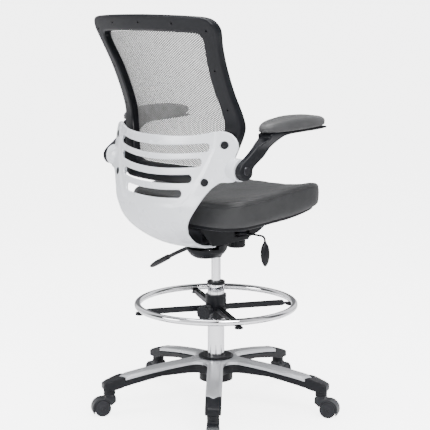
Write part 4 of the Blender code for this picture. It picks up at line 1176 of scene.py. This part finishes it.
def build_stage():
    """Pale floor, soft lights and the camera."""
    material, tree, shader = base_material("studio_floor", (0.86, 0.86, 0.87), 0.7)
    mottle = texture(tree, "Noise", 3, Detail=2)
    tint(tree, mottle, (0.85, 0.85, 0.86), (0.87, 0.87, 0.88), shader)
    glow = add_node(tree, "LightPath")
    set_sockets(shader, Emission_Color=(1, 1, 1, 1))
    span(tree, glow.outputs["Is Camera Ray"], 0.0, 4.5, shader.inputs["Emission Strength"])
    mesh = bpy.data.meshes.new("studio_floor")
    size = 600
    mesh.from_pydata([(-size, -size, 0), (size, -size, 0), (size, size, 0), (-size, size, 0)], [],
                     [(0, 1, 2, 3)])
    mesh.materials.append(material)
    floor = add_object("studio_floor", mesh)

    world = bpy.data.worlds.new("studio")
    world.use_nodes = True
    tree = world.node_tree
    sky = set_sockets(tree.nodes["Background"], Strength=0.8)
    coords = add_node(tree, "TexCoord")
    round_about = add_node(tree, "TexGradient")
    round_about.gradient_type = "RADIAL"
    panels = add_node(tree, "ValToRGB")
    tree.links.new(coords.outputs["Generated"], round_about.inputs["Vector"])
    tree.links.new(round_about.outputs["Fac"], panels.inputs["Fac"])
    tree.links.new(panels.outputs["Color"], sky.inputs["Color"])
    ramp = panels.color_ramp
    stops = [(0.0, 0.95), (0.07, 1.5), (0.11, 0.18), (0.17, 0.18), (0.21, 1.6), (0.32, 1.6),
             (0.35, 0.3), (0.42, 0.3), (0.46, 1.5), (0.56, 1.2), (0.6, 0.16), (0.67, 0.16),
             (0.71, 1.5), (0.84, 1.5), (0.88, 0.22), (0.94, 0.22)]
    ramp.elements[0].position, grey = stops[0]
    ramp.elements[0].color = (grey, grey, grey, 1)
    ramp.elements[1].position = 1.0
    ramp.elements[1].color = (grey, grey, grey, 1)
    for position, grey in stops[1:]:
        ramp.elements.new(position).color = (grey, grey, grey * 1.02, 1)
    open_sky = add_node(tree, "Background", Color=(1, 1, 1, 1), Strength=5.0)
    seen = add_node(tree, "LightPath")
    choice = add_node(tree, "MixShader")
    tree.links.new(seen.outputs["Is Camera Ray"], choice.inputs["Fac"])
    tree.links.new(sky.outputs["Background"], choice.inputs[1])
    tree.links.new(open_sky.outputs["Background"], choice.inputs[2])
    tree.links.new(choice.outputs["Shader"], tree.nodes["World Output"].inputs["Surface"])
    bpy.context.scene.world = world
    lamps = (("key", (-2.6, 1.2, 2.8), 1.6, 150), ("fill", (1.2, 3.4, 1.6), 1.8, 60),
             ("top", (0, 0.2, 3.2), 2.0, 130))
    for name, place, width, power in lamps:
        light = bpy.data.lights.new(name, "AREA")
        light.shape = "DISK"
        light.size = width
        light.energy = power
        lamp = add_object(name, light)
        lamp.location = place
        aim = Vector((0, 0, 0.6)) - Vector(place)
        lamp.rotation_euler = aim.to_track_quat("-Z", "Y").to_euler()

    azimuth = radians(45)
    away = 3.7
    camera = bpy.data.cameras.new("camera")
    camera.lens = 106.5
    camera.shift_x = -0.0023
    view = add_object("camera", camera)
    view.location = COLUMN + Vector((-sin(azimuth) * away, cos(azimuth) * away, 1.2))
    view.rotation_euler = (radians(90 - 9.5), 0, azimuth + pi)
    bpy.context.scene.camera = view


build_stage()
build_base()
build_casters()
build_column()
build_foot_ring()
build_mechanism()
build_seat()
build_shell()
build_back()
build_arms()
